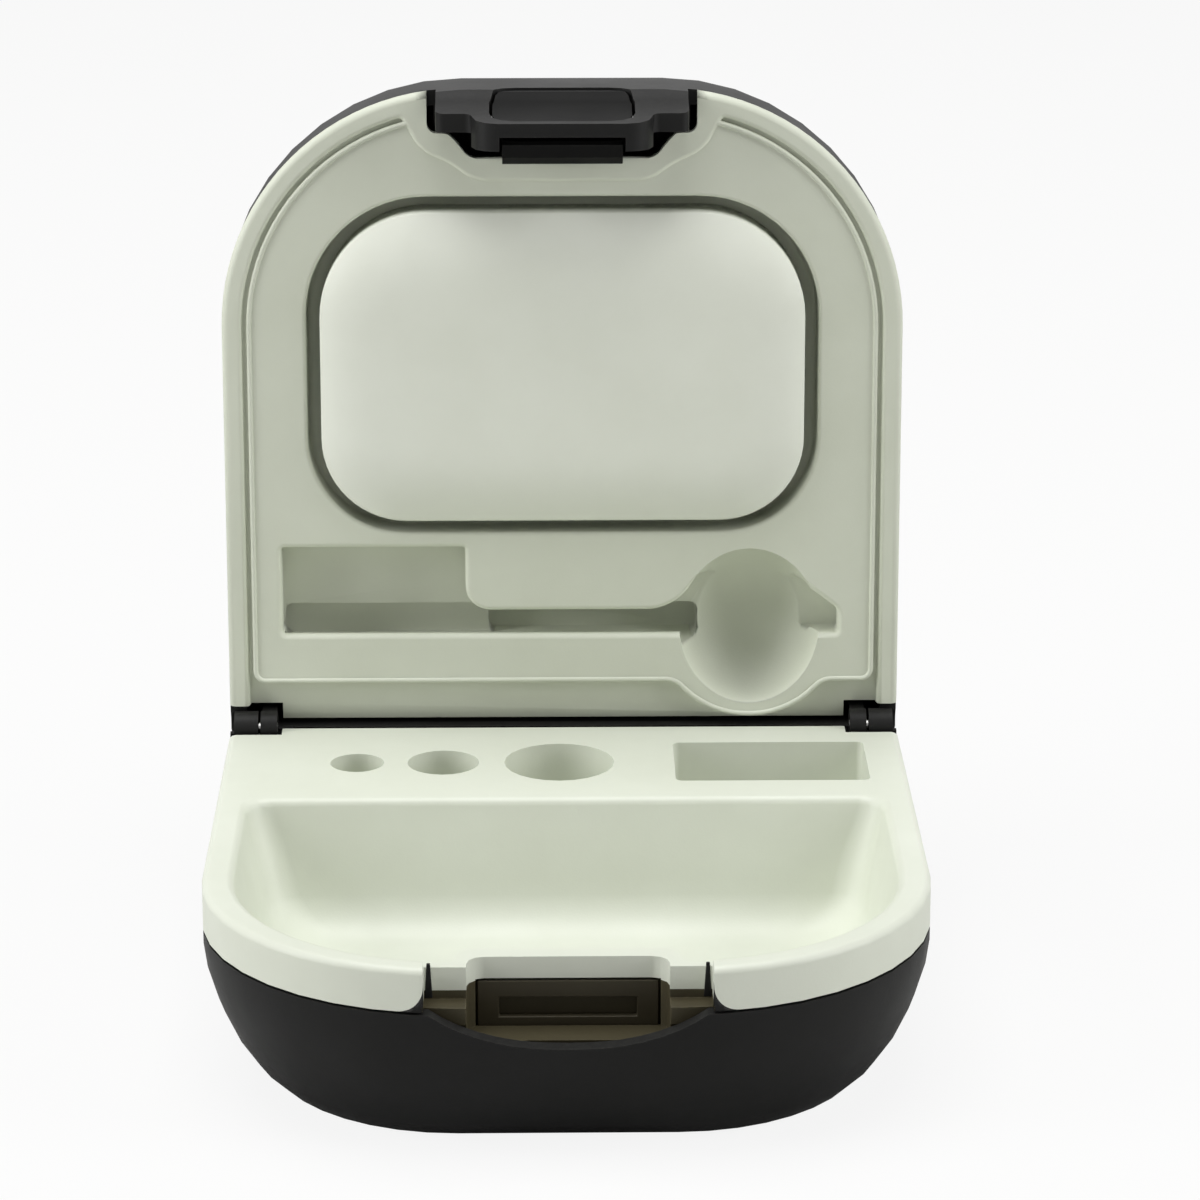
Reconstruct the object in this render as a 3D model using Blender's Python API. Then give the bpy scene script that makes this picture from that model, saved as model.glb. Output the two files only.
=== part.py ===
"""Hearing aid case: a clamshell of two moulded halves, shown open.

Both halves are modelled in one hinge frame, whose origin is on the hinge axis at the rim plane. There, x runs
along the axis, u runs from the axis towards the front, and depth runs from the rim plane into the half. The base
half hangs below that plane. The lid half is modelled closed, above it, and its parent empty swings it open.
A drop is a length past the lid's rim plane, towards the base, so it is a negative depth of the lid.
"""

import math
from dataclasses import dataclass

import bmesh
import bpy
from mathutils import Matrix, Vector

MM = 0.001

# Overall sizes
HALF_WIDTH = 40.0 * MM
FRONT = 76.7 * MM
REAR_OVERHANG = 2.0 * MM
FRONT_CORNER = 28.2 * MM
REAR_CORNER = 1.2 * MM
BASE_HEIGHT = 22.6 * MM
LID_HEIGHT = 14.5 * MM
OPEN_ANGLE = math.radians(92.6)

# Fits
GAP = 0.3 * MM
PARTING = 0.15 * MM
OVERRUN = 2.0 * MM

# Black shells
SHELL_WALL = 1.8 * MM
BASE_STRAIGHT = 6.5 * MM
BASE_REACH = 8.9 * MM
BASE_ROUNDNESS = 1.55
LID_STRAIGHT = 8.4 * MM
LID_REACH = 5.9 * MM
LID_ROUNDNESS = 2.25
REAR_CORNER_SHARE = 0.5
REAR_REACH_SHARE = 0.4

# Liners: the pale band at the parting line, the deck inside it and the skirt that locates it in the shell
BASE_BAND = 5.0 * MM
LID_BAND = 1.3 * MM
RIM_ROUND = 0.8 * MM
LINER_REAR = 0.1 * MM
LINER_REAR_SHARE = 0.2
DECK = 1.6 * MM
SKIRT = 2.2 * MM
SKIRT_WALL = 1.5 * MM
POCKET_WALL = 1.2 * MM

# Main compartment of the base
ROOM_SIDE = 3.6 * MM
ROOM_HALF_WIDTH = HALF_WIDTH - ROOM_SIDE
ROOM_REAR = 25.1 * MM
ROOM_RIM = 2.8 * MM
ROOM_REAR_CORNER = 3.0 * MM
ROOM_DEPTH = 15.5 * MM
ROOM_FILLET = 6.0 * MM
ROOM_DRAFT = 1.8 * MM
ROOM_EDGE = 0.9 * MM
ROOM_CORNER_SHARE = 0.5

# Battery pockets in the base's rear deck, for cell sizes 10, 13 and 675, and a rectangular one
POCKET_LINE = 12.6 * MM
SMALL_CELL_SHARE = -0.6075
SMALL_CELL_X = HALF_WIDTH * SMALL_CELL_SHARE
SMALL_CELL_RADIUS = 3.15 * MM
SMALL_CELL_DEPTH = 4.4 * MM
MIDDLE_CELL_SHARE = -0.355
MIDDLE_CELL_X = HALF_WIDTH * MIDDLE_CELL_SHARE
MIDDLE_CELL_RADIUS = 4.2 * MM
MIDDLE_CELL_DEPTH = 5.8 * MM
LARGE_CELL_SHARE = -0.015
LARGE_CELL_X = HALF_WIDTH * LARGE_CELL_SHARE
LARGE_CELL_RADIUS = 6.45 * MM
LARGE_CELL_DEPTH = 6.4 * MM
CARD_SHARE = 0.605
CARD_WIDTH_SHARE = 0.565
CARD_X = HALF_WIDTH * CARD_SHARE
CARD_WIDTH = HALF_WIDTH * CARD_WIDTH_SHARE
CARD_LENGTH = 13.3 * MM
CARD_DEPTH = 8.0 * MM
CARD_CORNER = 0.8 * MM

# Latch recess in the base's front
SLOT_HALF_WIDTH = 15.15 * MM
FLANK_FACE = 71.9 * MM
FLANK_DEPTH = 5.3 * MM
NOOK_HALF_WIDTH = 10.7 * MM
NOOK_FACE = 69.0 * MM
NOOK_DEPTH = 9.5 * MM
NOOK_CORNER = 1.9 * MM
NOOK_WALL = 1.1 * MM
LOW_RIM = 1.6 * MM
HOUSING_CORNER = 1.6 * MM
SMILE_DEPTH = 9.3 * MM
SMILE_POWER = 2.4
LIP_DEPTH = 4.2 * MM
CATCH_THICKNESS = 0.8 * MM
CATCH_HALF_WIDTH = 9.6 * MM
CATCH_FOOT = 0.5 * MM
CATCH_WINDOW_HALF_WIDTH = 7.3 * MM
CATCH_WINDOW_TOP = 6.4 * MM
CATCH_WINDOW_BOTTOM = 8.6 * MM

# Lid liner: a lip round a sunk deck, and on the deck a raised panel that carries the pad and the tool recess
LID_LIP = 2.4 * MM
LID_DECK_DROP = 0.9 * MM
PANEL_MARGIN = 0.5 * MM
PANEL_RISE = 0.55 * MM
PANEL_REAR = 5.3 * MM
PANEL_REAR_CORNER = 1.6 * MM
LID_NOTCH_HALF_WIDTH = 15.7 * MM
LID_NOTCH_FACE = 71.6 * MM
LID_NOTCH_CORNER = 1.2 * MM
LID_STEP_HALF_WIDTH = 12.4 * MM
LID_STEP_FACE = 70.0 * MM
LID_NOOK_HALF_WIDTH = 10.9 * MM
LID_NOOK_FACE = 68.6 * MM

# Convex pad in the lid, in a bed with a groove round it
PAD_MARGIN = 11.55 * MM
PAD_HALF_WIDTH = HALF_WIDTH - PAD_MARGIN
PAD_REAR = 25.4 * MM
PAD_FRONT = 62.4 * MM
PAD_FRONT_CORNER = 12.5 * MM
PAD_REAR_CORNER = 10.0 * MM
PAD_GROOVE = 1.6 * MM
PAD_BED = 4.0 * MM
PAD_SIDE = 0.2 * MM
PAD_EDGE = 1.4 * MM
PAD_EDGE_REACH = 3.2 * MM
PAD_CROWN = 1.0 * MM
PAD_CROWN_REACH = 5.5 * MM

# Tool recess in the lid: a rectangle, a neck and a round finger bowl
TOOL_LEFT_MARGIN = 6.5 * MM
TOOL_RIGHT_MARGIN = 6.7 * MM
TOOL_STEP_SHARE = -0.29
TOOL_LEFT = TOOL_LEFT_MARGIN - HALF_WIDTH
TOOL_STEP = HALF_WIDTH * TOOL_STEP_SHARE
TOOL_RIGHT = HALF_WIDTH - TOOL_RIGHT_MARGIN
TOOL_REAR = 11.3 * MM
TOOL_FRONT = 22.0 * MM
NECK_FRONT = 14.2 * MM
TOOL_CORNER = 0.5 * MM
TOOL_DEPTH = 5.0 * MM
BOWL_SHARE = 0.555
BOWL_X = HALF_WIDTH * BOWL_SHARE
BOWL_U = 12.1 * MM
BOWL_HALF_WIDTH = 8.4 * MM
BOWL_HALF_LENGTH = 9.6 * MM
BOWL_DEPTH = 6.5 * MM
BOWL_SWEEP = math.radians(62.0)
BOWL_MARGIN = 1.6 * MM

# Hinge: two barrels at each rear corner, with a pin
KNUCKLE_RADIUS = 1.9 * MM
KNUCKLE_MARGIN = 0.6 * MM
BASE_BARREL = 3.0 * MM
LID_BARREL = 2.1 * MM
KNUCKLE_OUTER = HALF_WIDTH - KNUCKLE_MARGIN
KNUCKLE_SPLIT = KNUCKLE_OUTER - BASE_BARREL
KNUCKLE_INNER = KNUCKLE_SPLIT - LID_BARREL
FOOT_MARGIN = 0.12 * MM
HINGE_PIN_RADIUS = 0.6 * MM
HINGE_PIN_BORE = 0.85 * MM

# Latch apron on the lid's front
APRON_HALF_WIDTH = 14.6 * MM
EAR_DROP = 5.0 * MM
EAR_CORNER = 1.0 * MM
BLOCK_HALF_WIDTH = 10.3 * MM
BLOCK_DROP = 9.0 * MM
BLOCK_CORNER = 3.0 * MM
BLOCK_INNER = 70.9 * MM
BLOCK_ROOT = 1.0 * MM
WEB_INNER = 72.5 * MM
WEB_ROOT = 3.0 * MM
APRON_LEAN = 2.6 * MM
SCOOP_DROP_SHARES = (0.0, 0.13, 0.38, 0.67, 1.0)
SCOOP_LEAN_SHARES = (0.0, 0.39, 0.65, 0.87, 1.0)
LEVER_ROOM_HALF_WIDTH = 7.2 * MM

# Latch lever: a pill-shaped button on a tongue with a barb
BUTTON_HALF_WIDTH = 8.4 * MM
BUTTON_RISE = 1.3 * MM
BUTTON_DROP = 7.9 * MM
BUTTON_CORNER = 3.0 * MM
BUTTON_CLEARANCE = 0.35 * MM
BUTTON_BACK = 72.3 * MM
BUTTON_SWING = 0.7 * MM
BUTTON_RECESS = 0.25 * MM
TONGUE_HALF_WIDTH = 6.9 * MM
TONGUE_OUTER = 71.9 * MM
TONGUE_INNER = 69.7 * MM
TONGUE_DROP = 8.8 * MM
TONGUE_HEEL = 5.0 * MM
TONGUE_TAPER_DROP = 7.2 * MM
TONGUE_TAPER = 0.3 * MM
BARB_REACH = 0.45 * MM
BARB_DROP = 6.9 * MM
BARB_ROUND = 0.2 * MM
BARB_FLAT_DROP = 7.6 * MM
BARB_NOSE = 0.5 * MM
STEM_HALF_WIDTH = 6.0 * MM
STEM_HALF_HEIGHT = 2.2 * MM
STEM_OVERLAP = 0.9 * MM
PIVOT_U = 73.6 * MM
PIVOT_DROP = 3.4 * MM
LATCH_PIN_RADIUS = 0.5 * MM
LATCH_PIN_BORE = 0.75 * MM
LATCH_PIN_HALF_LENGTH = 9.7 * MM

# Latch spring: a bent steel strip in a slotted rib under the lid's roof, which bears on the lever's heel
SPRING_THICKNESS = 0.3 * MM
SPRING_WIDTH = 5.0 * MM
SPRING_U = 68.45 * MM
SPRING_BEND = 8.0 * MM
SPRING_TIP = 3.5 * MM
SPRING_LEAN = 0.35 * MM
RIB_WALL = 1.1 * MM
RIB_HALF_WIDTH = 3.4 * MM
RIB_HEIGHT = 4.2 * MM

# Mesh resolution
FRONT_STEPS = 10
REAR_STEPS = 3
FLOOR_STEPS = 6
CORNER_STEPS = 3
BOWL_SIDES = 28
WELL_SIDES = 24
KNUCKLE_SIDES = 20
PIN_SIDES = 12
SMILE_STEPS = 16
SMOOTH_ANGLE = math.radians(35.0)

BASE = -1
LID = 1
SIDES = ((-1, "left"), (1, "right"))


@dataclass(frozen=True)
class Half:
    """One half of the clamshell: which way it runs from the rim plane, its outer shape and its liner's band."""

    side: int
    height: float
    straight: float
    reach: float
    roundness: float
    band: float


BASE_HALF = Half(BASE, BASE_HEIGHT, BASE_STRAIGHT, BASE_REACH, BASE_ROUNDNESS, BASE_BAND)
LID_HALF = Half(LID, LID_HEIGHT, LID_STRAIGHT, LID_REACH, LID_ROUNDNESS, LID_BAND)
LINER_INSET = SHELL_WALL + GAP
HOLLOW_INSET = LINER_INSET + SKIRT_WALL
FLAT_FRONT = FRONT - BASE_REACH
FLAT_REAR = BASE_REACH * REAR_REACH_SHARE - REAR_OVERHANG
AXIS_Y = (FLAT_FRONT + FLAT_REAR) / 2


def clear_scene():
    for existing in list(bpy.data.objects):
        bpy.data.objects.remove(existing)


def new_collection(name, hidden):
    collection = bpy.data.collections.new(name)
    collection.hide_render = hidden
    bpy.context.scene.collection.children.link(collection)
    return collection


clear_scene()
PARTS = new_collection("hearing_aid_case", False)
CUTTERS = new_collection("cutters", True)


def new_material(name, colour, roughness, metallic=0.0):
    material = bpy.data.materials.new(name)
    material.use_nodes = True
    shader = material.node_tree.nodes["Principled BSDF"]
    shader.inputs["Base Color"].default_value = (*colour, 1.0)
    shader.inputs["Roughness"].default_value = roughness
    shader.inputs["Metallic"].default_value = metallic
    material.diffuse_color = (*colour, 1.0)
    return material


def new_empty(name, location, parent=None):
    empty = bpy.data.objects.new(name, None)
    empty.location = location
    empty.parent = parent
    PARTS.objects.link(empty)
    return empty


def place(x, u, depth, side):
    """A point of the hinge frame as Blender coordinates."""
    return Vector((x, -u, side * depth))


def solid_from(bm, name):
    """Turns a bmesh into an object whose faces point out, hidden as a helper until it is shown as a part."""
    bmesh.ops.recalc_face_normals(bm, faces=bm.faces)
    mesh = bpy.data.meshes.new(name)
    bm.to_mesh(mesh)
    bm.free()
    solid = bpy.data.objects.new(name, mesh)
    CUTTERS.objects.link(solid)
    solid.hide_render = True
    solid.display_type = "WIRE"
    return solid


def skin(name, rings, side):
    """Lofts through rings of (x, u) points, each with its depth, and closes both ends."""
    bm = bmesh.new()
    loops = [[bm.verts.new(place(x, u, depth, side)) for x, u in points] for points, depth in rings]
    for first, second in zip(loops, loops[1:]):
        for index in range(len(first)):
            following = (index + 1) % len(first)
            bm.faces.new((first[index], first[following], second[following], second[index]))
    bm.faces.new(loops[0])
    bm.faces.new(loops[-1])
    return solid_from(bm, name)


def prism(name, points, start, end, side, axis):
    """Sweeps a closed outline: of (u, depth) along x, or of (x, depth) along u."""
    bm = bmesh.new()
    if axis == "X":
        ring = [bm.verts.new(place(start, u, depth, side)) for u, depth in points]
        sweep = place(end, 0.0, 0.0, side) - place(start, 0.0, 0.0, side)
    else:
        ring = [bm.verts.new(place(x, start, depth, side)) for x, depth in points]
        sweep = place(0.0, end, 0.0, side) - place(0.0, start, 0.0, side)
    face = bm.faces.new(ring)
    swept = bmesh.ops.extrude_face_region(bm, geom=[face], use_keep_orig=True)
    moved = [item for item in swept["geom"] if isinstance(item, bmesh.types.BMVert)]
    bmesh.ops.translate(bm, vec=sweep, verts=moved)
    return solid_from(bm, name)


def block(name, x_range, u_range, depth_range, side):
    """A box between two limits on each axis of the hinge frame."""
    low = place(x_range[0], u_range[0], depth_range[0], side)
    high = place(x_range[1], u_range[1], depth_range[1], side)
    bm = bmesh.new()
    bmesh.ops.create_cube(bm, size=1.0)
    bmesh.ops.scale(bm, vec=[abs(length) for length in high - low], verts=bm.verts)
    bmesh.ops.translate(bm, vec=(low + high) / 2, verts=bm.verts)
    return solid_from(bm, name)


def rod(name, radius, x_range, u, depth, side, sides):
    """A cylinder along x."""
    bm = bmesh.new()
    bmesh.ops.create_cone(
        bm, cap_ends=True, segments=sides, radius1=radius, radius2=radius, depth=x_range[1] - x_range[0]
    )
    bmesh.ops.rotate(bm, matrix=Matrix.Rotation(math.pi / 2, 3, "Y"), verts=bm.verts)
    bmesh.ops.translate(bm, vec=place(sum(x_range) / 2, u, depth, side), verts=bm.verts)
    return solid_from(bm, name)


def well(name, radius, x, u, depth_range, side):
    """A cylinder along the depth."""
    bm = bmesh.new()
    bmesh.ops.create_cone(
        bm,
        cap_ends=True,
        segments=WELL_SIDES,
        radius1=radius,
        radius2=radius,
        depth=depth_range[1] - depth_range[0],
    )
    bmesh.ops.translate(bm, vec=place(x, u, sum(depth_range) / 2, side), verts=bm.verts)
    return solid_from(bm, name)


def combine(target, tool, operation):
    modifier = target.modifiers.new(f"{operation.lower()}_{tool.name}", "BOOLEAN")
    modifier.operation = operation
    modifier.object = tool


def join(target, tool):
    combine(target, tool, "UNION")


def cut(target, tool):
    combine(target, tool, "DIFFERENCE")


def follow(solid, parent):
    """Parents an object, and with it every tool that its Booleans use."""
    solid.parent = parent
    for modifier in solid.modifiers:
        if modifier.type == "BOOLEAN" and modifier.object.parent is None:
            follow(modifier.object, parent)


def show(solid, material, parent):
    """Makes a finished solid a part of the case."""
    CUTTERS.objects.unlink(solid)
    PARTS.objects.link(solid)
    solid.hide_render = False
    solid.display_type = "TEXTURED"
    solid.data.materials.append(material)
    solid.data.shade_smooth()
    solid.data.set_sharp_from_angle(angle=SMOOTH_ANGLE)
    follow(solid, parent)
    return solid


def to_side(limits, sign):
    """Mirrors a range of x to the left side when the sign is negative."""
    return limits if sign > 0 else (-limits[1], -limits[0])


def outline(half_width, front, rear, front_radius, rear_radius):
    """A plan with two front and two rear corner arcs, counter-clockwise."""
    arcs = (
        (half_width - front_radius, front - front_radius, front_radius, FRONT_STEPS),
        (front_radius - half_width, front - front_radius, front_radius, FRONT_STEPS),
        (rear_radius - half_width, rear + rear_radius, rear_radius, REAR_STEPS),
        (half_width - rear_radius, rear + rear_radius, rear_radius, REAR_STEPS),
    )
    points = []
    for quarter, (x, u, radius, steps) in enumerate(arcs):
        for step in range(steps + 1):
            angle = math.pi / 2 * (quarter + step / steps)
            points.append((x + radius * math.cos(angle), u + radius * math.sin(angle)))
    return points


def rounded(corners):
    """Rounds each (across, along, radius) corner of a polygon with an arc."""
    points = []
    for index, (across, along, radius) in enumerate(corners):
        corner = Vector((across, along))
        if not radius:
            points.append(corner.to_tuple())
            continue
        before = (Vector(corners[index - 1][:2]) - corner).normalized()
        after = (Vector(corners[(index + 1) % len(corners)][:2]) - corner).normalized()
        half = before.angle(after) / 2
        centre = corner + (before + after).normalized() * (radius / math.sin(half))
        start = corner + before * (radius / math.tan(half)) - centre
        end = corner + after * (radius / math.tan(half)) - centre
        turn = math.atan2(start.x * end.y - start.y * end.x, start.dot(end))
        for step in range(CORNER_STEPS + 1):
            point = centre + Matrix.Rotation(turn * step / CORNER_STEPS, 2) @ start
            points.append(point.to_tuple())
    return points


def ellipse(x, u, half_width, half_length):
    angles = [2 * math.pi * step / BOWL_SIDES for step in range(BOWL_SIDES)]
    return [(x + half_width * math.cos(angle), u + half_length * math.sin(angle)) for angle in angles]


def mirrored(right_half):
    """Completes the corners of a polygon from those on its right, in order from the front to the middle."""
    return right_half + [(-x, along, radius) for x, along, radius in reversed(right_half)]


def case_outline(wall, inset):
    """The plan inside a wall, drawn in by an inset that is smaller at the steep rear."""
    return outline(
        HALF_WIDTH - wall - inset,
        FRONT - wall - inset,
        wall + REAR_REACH_SHARE * inset - REAR_OVERHANG,
        FRONT_CORNER - wall - inset,
        REAR_CORNER + REAR_CORNER_SHARE * (wall + inset),
    )


def liner_outline(inset):
    return outline(
        HALF_WIDTH - inset,
        FRONT - inset,
        LINER_REAR + LINER_REAR_SHARE * inset,
        FRONT_CORNER - inset,
        REAR_CORNER,
    )


def shell_rings(half, wall):
    """The outer face, or the inner face when a wall is given: straight, then a quarter of a superellipse."""
    curve = half.height - wall - half.straight
    power = 2 / half.roundness
    rings = []
    for step in range(FLOOR_STEPS + 1):
        angle = math.pi / 2 * step / FLOOR_STEPS
        inset = half.reach * (1 - max(0.0, math.cos(angle)) ** power)
        rings.append((case_outline(wall, inset), half.straight + curve * math.sin(angle) ** power))
    return rings


def shell_body(name, half, top):
    """An open bowl from a depth at or past the rim plane to the flat, with a wall of even thickness."""
    inner = [(case_outline(SHELL_WALL, 0.0), top)] + shell_rings(half, SHELL_WALL)
    outer = [(case_outline(0.0, 0.0), top)] + shell_rings(half, 0.0)
    return skin(name, inner[::-1] + outer, half.side)


def add_hinge(shell, half):
    """Barrels with feet at the rear corners, and a rear edge bevelled so that the two halves stop each other."""
    if half.side == BASE:
        own = (KNUCKLE_SPLIT + GAP / 2, KNUCKLE_OUTER)
        other = (KNUCKLE_INNER - GAP, own[0] + GAP)
    else:
        own = (KNUCKLE_INNER, KNUCKLE_SPLIT - GAP / 2)
        other = (own[1] - GAP, HALF_WIDTH + OVERRUN)
    foot_depth = half.band + GAP + OVERRUN
    foot_half = KNUCKLE_RADIUS - FOOT_MARGIN
    for sign, word in SIDES:
        name = f"{shell.name}_{word}"
        room = rod(
            f"{name}_room", KNUCKLE_RADIUS + GAP, to_side(other, sign), 0.0, 0.0, half.side, KNUCKLE_SIDES
        )
        cut(shell, room)
        foot_range = to_side((own[0] + FOOT_MARGIN, own[1] - FOOT_MARGIN), sign)
        foot = block(f"{name}_foot", foot_range, (-foot_half, foot_half), (0.0, foot_depth), half.side)
        join(shell, foot)
    cut(shell, stop_bevel(f"{shell.name}_stop_bevel", half))
    for sign, word in SIDES:
        name = f"{shell.name}_{word}"
        barrel = rod(f"{name}_barrel", KNUCKLE_RADIUS, to_side(own, sign), 0.0, 0.0, half.side, KNUCKLE_SIDES)
        join(shell, barrel)
        bore_range = to_side((KNUCKLE_INNER - OVERRUN, HALF_WIDTH + OVERRUN), sign)
        cut(shell, rod(f"{name}_bore", HINGE_PIN_BORE, bore_range, 0.0, 0.0, half.side, PIN_SIDES))


def stop_bevel(name, half):
    """The wedge behind the axis that a rear edge leaves free: half the opening angle, and a little more."""
    along = Vector((-math.cos(OPEN_ANGLE / 2), math.sin(OPEN_ANGLE / 2)))
    inward = Vector((math.sin(OPEN_ANGLE / 2), math.cos(OPEN_ANGLE / 2))) * PARTING
    near = inward - along * OVERRUN
    far = inward + along * ((REAR_OVERHANG + OVERRUN) / math.cos(OPEN_ANGLE / 2))
    points = [near.to_tuple(), far.to_tuple(), (far.x, near.y)]
    return prism(name, points, -HALF_WIDTH - OVERRUN, HALF_WIDTH + OVERRUN, half.side, "X")


def base_shell():
    shell = shell_body("base_shell", BASE_HALF, 0.0)
    width = (-HALF_WIDTH - OVERRUN, HALF_WIDTH + OVERRUN)
    band = block("base_band_room", width, (0.0, FRONT + OVERRUN), (-OVERRUN, BASE_BAND + GAP), BASE)
    cut(shell, band)
    cut(shell, prism("smile", smile_points(), NOOK_FACE, FRONT + OVERRUN, BASE, "U"))
    add_hinge(shell, BASE_HALF)
    return shell


def smile_points():
    """The dip in the front wall through which the latch's button is reached."""
    points = [(SLOT_HALF_WIDTH, -OVERRUN), (-SLOT_HALF_WIDTH, -OVERRUN)]
    for step in range(SMILE_STEPS + 1):
        share = 2 * step / SMILE_STEPS - 1
        rise = (SMILE_DEPTH - BASE_BAND) * abs(share) ** SMILE_POWER
        points.append((SLOT_HALF_WIDTH * share, SMILE_DEPTH - rise))
    return points


def liner_body(name, half):
    """The band with its rounded rim, and the narrower skirt that goes into the shell."""
    rings = []
    for step in range(CORNER_STEPS + 1):
        angle = math.pi / 2 * step / CORNER_STEPS
        inset = RIM_ROUND * (1 - math.sin(angle))
        rings.append((liner_outline(inset), PARTING + RIM_ROUND * (1 - math.cos(angle))))
    rings.append((liner_outline(0.0), half.band))
    rings.append((liner_outline(LINER_INSET), half.band))
    rings.append((liner_outline(LINER_INSET), half.band + SKIRT))
    return skin(name, rings, half.side)


def hollow(name, half, start):
    """The space inside the skirt, under the deck."""
    inner = outline(
        HALF_WIDTH - HOLLOW_INSET,
        FRONT - HOLLOW_INSET,
        LINER_REAR + SKIRT_WALL,
        FRONT_CORNER - HOLLOW_INSET,
        REAR_CORNER,
    )
    return skin(name, [(inner, start), (inner, half.band + SKIRT + OVERRUN)], half.side)


def room_outline(inset):
    return outline(
        ROOM_HALF_WIDTH - inset,
        FRONT - ROOM_RIM - inset,
        ROOM_REAR + inset,
        FRONT_CORNER - ROOM_RIM - inset,
        ROOM_REAR_CORNER + ROOM_CORNER_SHARE * inset,
    )


def room_floor_rings(wall):
    """The drafted side and the filleted floor of the compartment, or the outside of its wall."""
    rings = []
    for step in range(FLOOR_STEPS + 1):
        angle = math.pi / 2 * step / FLOOR_STEPS
        radius = ROOM_FILLET + wall
        inset = ROOM_DRAFT + radius * (1 - math.cos(angle)) - wall
        rings.append((room_outline(inset), ROOM_DEPTH - ROOM_FILLET + radius * math.sin(angle)))
    return rings


def tub(name):
    """The compartment's outside, from within the deck down."""
    return skin(name, [(room_outline(-POCKET_WALL), DECK / 2)] + room_floor_rings(POCKET_WALL), BASE)


def room_cut():
    """The compartment, with a rounded edge at its mouth."""
    rings = [(room_outline(-ROOM_EDGE), -OVERRUN)]
    for step in range(CORNER_STEPS + 1):
        angle = math.pi / 2 * step / CORNER_STEPS
        depth = PARTING + ROOM_EDGE * (1 - math.cos(angle))
        rings.append((room_outline(ROOM_EDGE * (math.sin(angle) - 1)), depth))
    return skin("room", rings + room_floor_rings(0.0), BASE)


def card_outline(grow):
    corner = CARD_CORNER + grow
    half_length = CARD_LENGTH / 2 + grow
    right = CARD_X + CARD_WIDTH / 2 + grow
    left = CARD_X - CARD_WIDTH / 2 - grow
    front = POCKET_LINE + half_length
    rear = POCKET_LINE - half_length
    return rounded([(right, front, corner), (left, front, corner), (left, rear, corner), (right, rear, corner)])


def housing_outline():
    """The stepped inner wall round the latch recess, in plan."""
    side = SLOT_HALF_WIDTH + NOOK_WALL
    step = NOOK_HALF_WIDTH + NOOK_WALL
    front = FRONT - LINER_INSET - GAP
    rear = NOOK_FACE - GAP - CATCH_THICKNESS - NOOK_WALL
    right = [
        (side, front, 0.0),
        (side, FLANK_FACE - NOOK_WALL, HOUSING_CORNER),
        (step, FLANK_FACE - NOOK_WALL, HOUSING_CORNER),
        (step, rear, HOUSING_CORNER),
    ]
    return rounded(mirrored(right))


def cut_latch_recess(tray):
    """The slot in the band for the lid's apron, the deeper nook for its tongue and the seat of the catch plate."""
    housing = housing_outline()
    bottom = ROOM_DEPTH + POCKET_WALL / 2
    wall = skin("latch_housing", [(housing, PARTING + LOW_RIM), (housing, bottom)], BASE)
    combine(wall, tub("housing_limit"), "INTERSECT")
    join(tray, wall)
    nook_floor = NOOK_DEPTH + POCKET_WALL
    below = block(
        "below_nook",
        (-NOOK_HALF_WIDTH, NOOK_HALF_WIDTH),
        (NOOK_FACE - GAP - CATCH_THICKNESS + GAP / 2, FRONT + OVERRUN),
        (nook_floor, ROOM_DEPTH + POCKET_WALL + OVERRUN),
        BASE,
    )
    cut(tray, below)
    front = FRONT + OVERRUN
    slot = block("slot", (-SLOT_HALF_WIDTH, SLOT_HALF_WIDTH), (FLANK_FACE, front), (-OVERRUN, FLANK_DEPTH), BASE)
    cut(tray, slot)
    nook = rounded(mirrored([(NOOK_HALF_WIDTH, front, 0.0), (NOOK_HALF_WIDTH, NOOK_FACE, NOOK_CORNER)]))
    cut(tray, skin("nook", [(nook, -OVERRUN), (nook, NOOK_DEPTH)], BASE))
    seat_half_width = CATCH_HALF_WIDTH + GAP
    seat = block(
        "catch_seat",
        (-seat_half_width, seat_half_width),
        (NOOK_FACE - CATCH_THICKNESS - GAP, NOOK_FACE + GAP),
        (LIP_DEPTH, NOOK_DEPTH + CATCH_FOOT),
        BASE,
    )
    cut(tray, seat)


def notch_for_hinge(liner, half):
    for sign, word in SIDES:
        notch = block(
            f"{liner.name}_{word}_hinge_notch",
            to_side((KNUCKLE_INNER - 2 * GAP, HALF_WIDTH + OVERRUN), sign),
            (-OVERRUN, KNUCKLE_RADIUS + 2 * GAP),
            (-OVERRUN, half.band + SKIRT + OVERRUN),
            half.side,
        )
        cut(liner, notch)


def base_tray():
    tray = liner_body("base_tray", BASE_HALF)
    cut(tray, hollow("base_hollow", BASE_HALF, PARTING + DECK))
    join(tray, tub("tub"))
    cells = (
        ("small", SMALL_CELL_X, SMALL_CELL_RADIUS, SMALL_CELL_DEPTH),
        ("middle", MIDDLE_CELL_X, MIDDLE_CELL_RADIUS, MIDDLE_CELL_DEPTH),
        ("large", LARGE_CELL_X, LARGE_CELL_RADIUS, LARGE_CELL_DEPTH),
    )
    for name, x, radius, depth in cells:
        cup_depth = (DECK / 2, depth + POCKET_WALL)
        join(tray, well(f"{name}_cell_cup", radius + POCKET_WALL, x, POCKET_LINE, cup_depth, BASE))
    cup = card_outline(POCKET_WALL)
    join(tray, skin("card_cup", [(cup, DECK / 2), (cup, CARD_DEPTH + POCKET_WALL)], BASE))
    cut(tray, room_cut())
    for name, x, radius, depth in cells:
        cut(tray, well(f"{name}_cell", radius, x, POCKET_LINE, (-OVERRUN, depth), BASE))
    pocket = card_outline(0.0)
    cut(tray, skin("card", [(pocket, -OVERRUN), (pocket, CARD_DEPTH)], BASE))
    cut_latch_recess(tray)
    notch_for_hinge(tray, BASE_HALF)
    return tray


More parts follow.
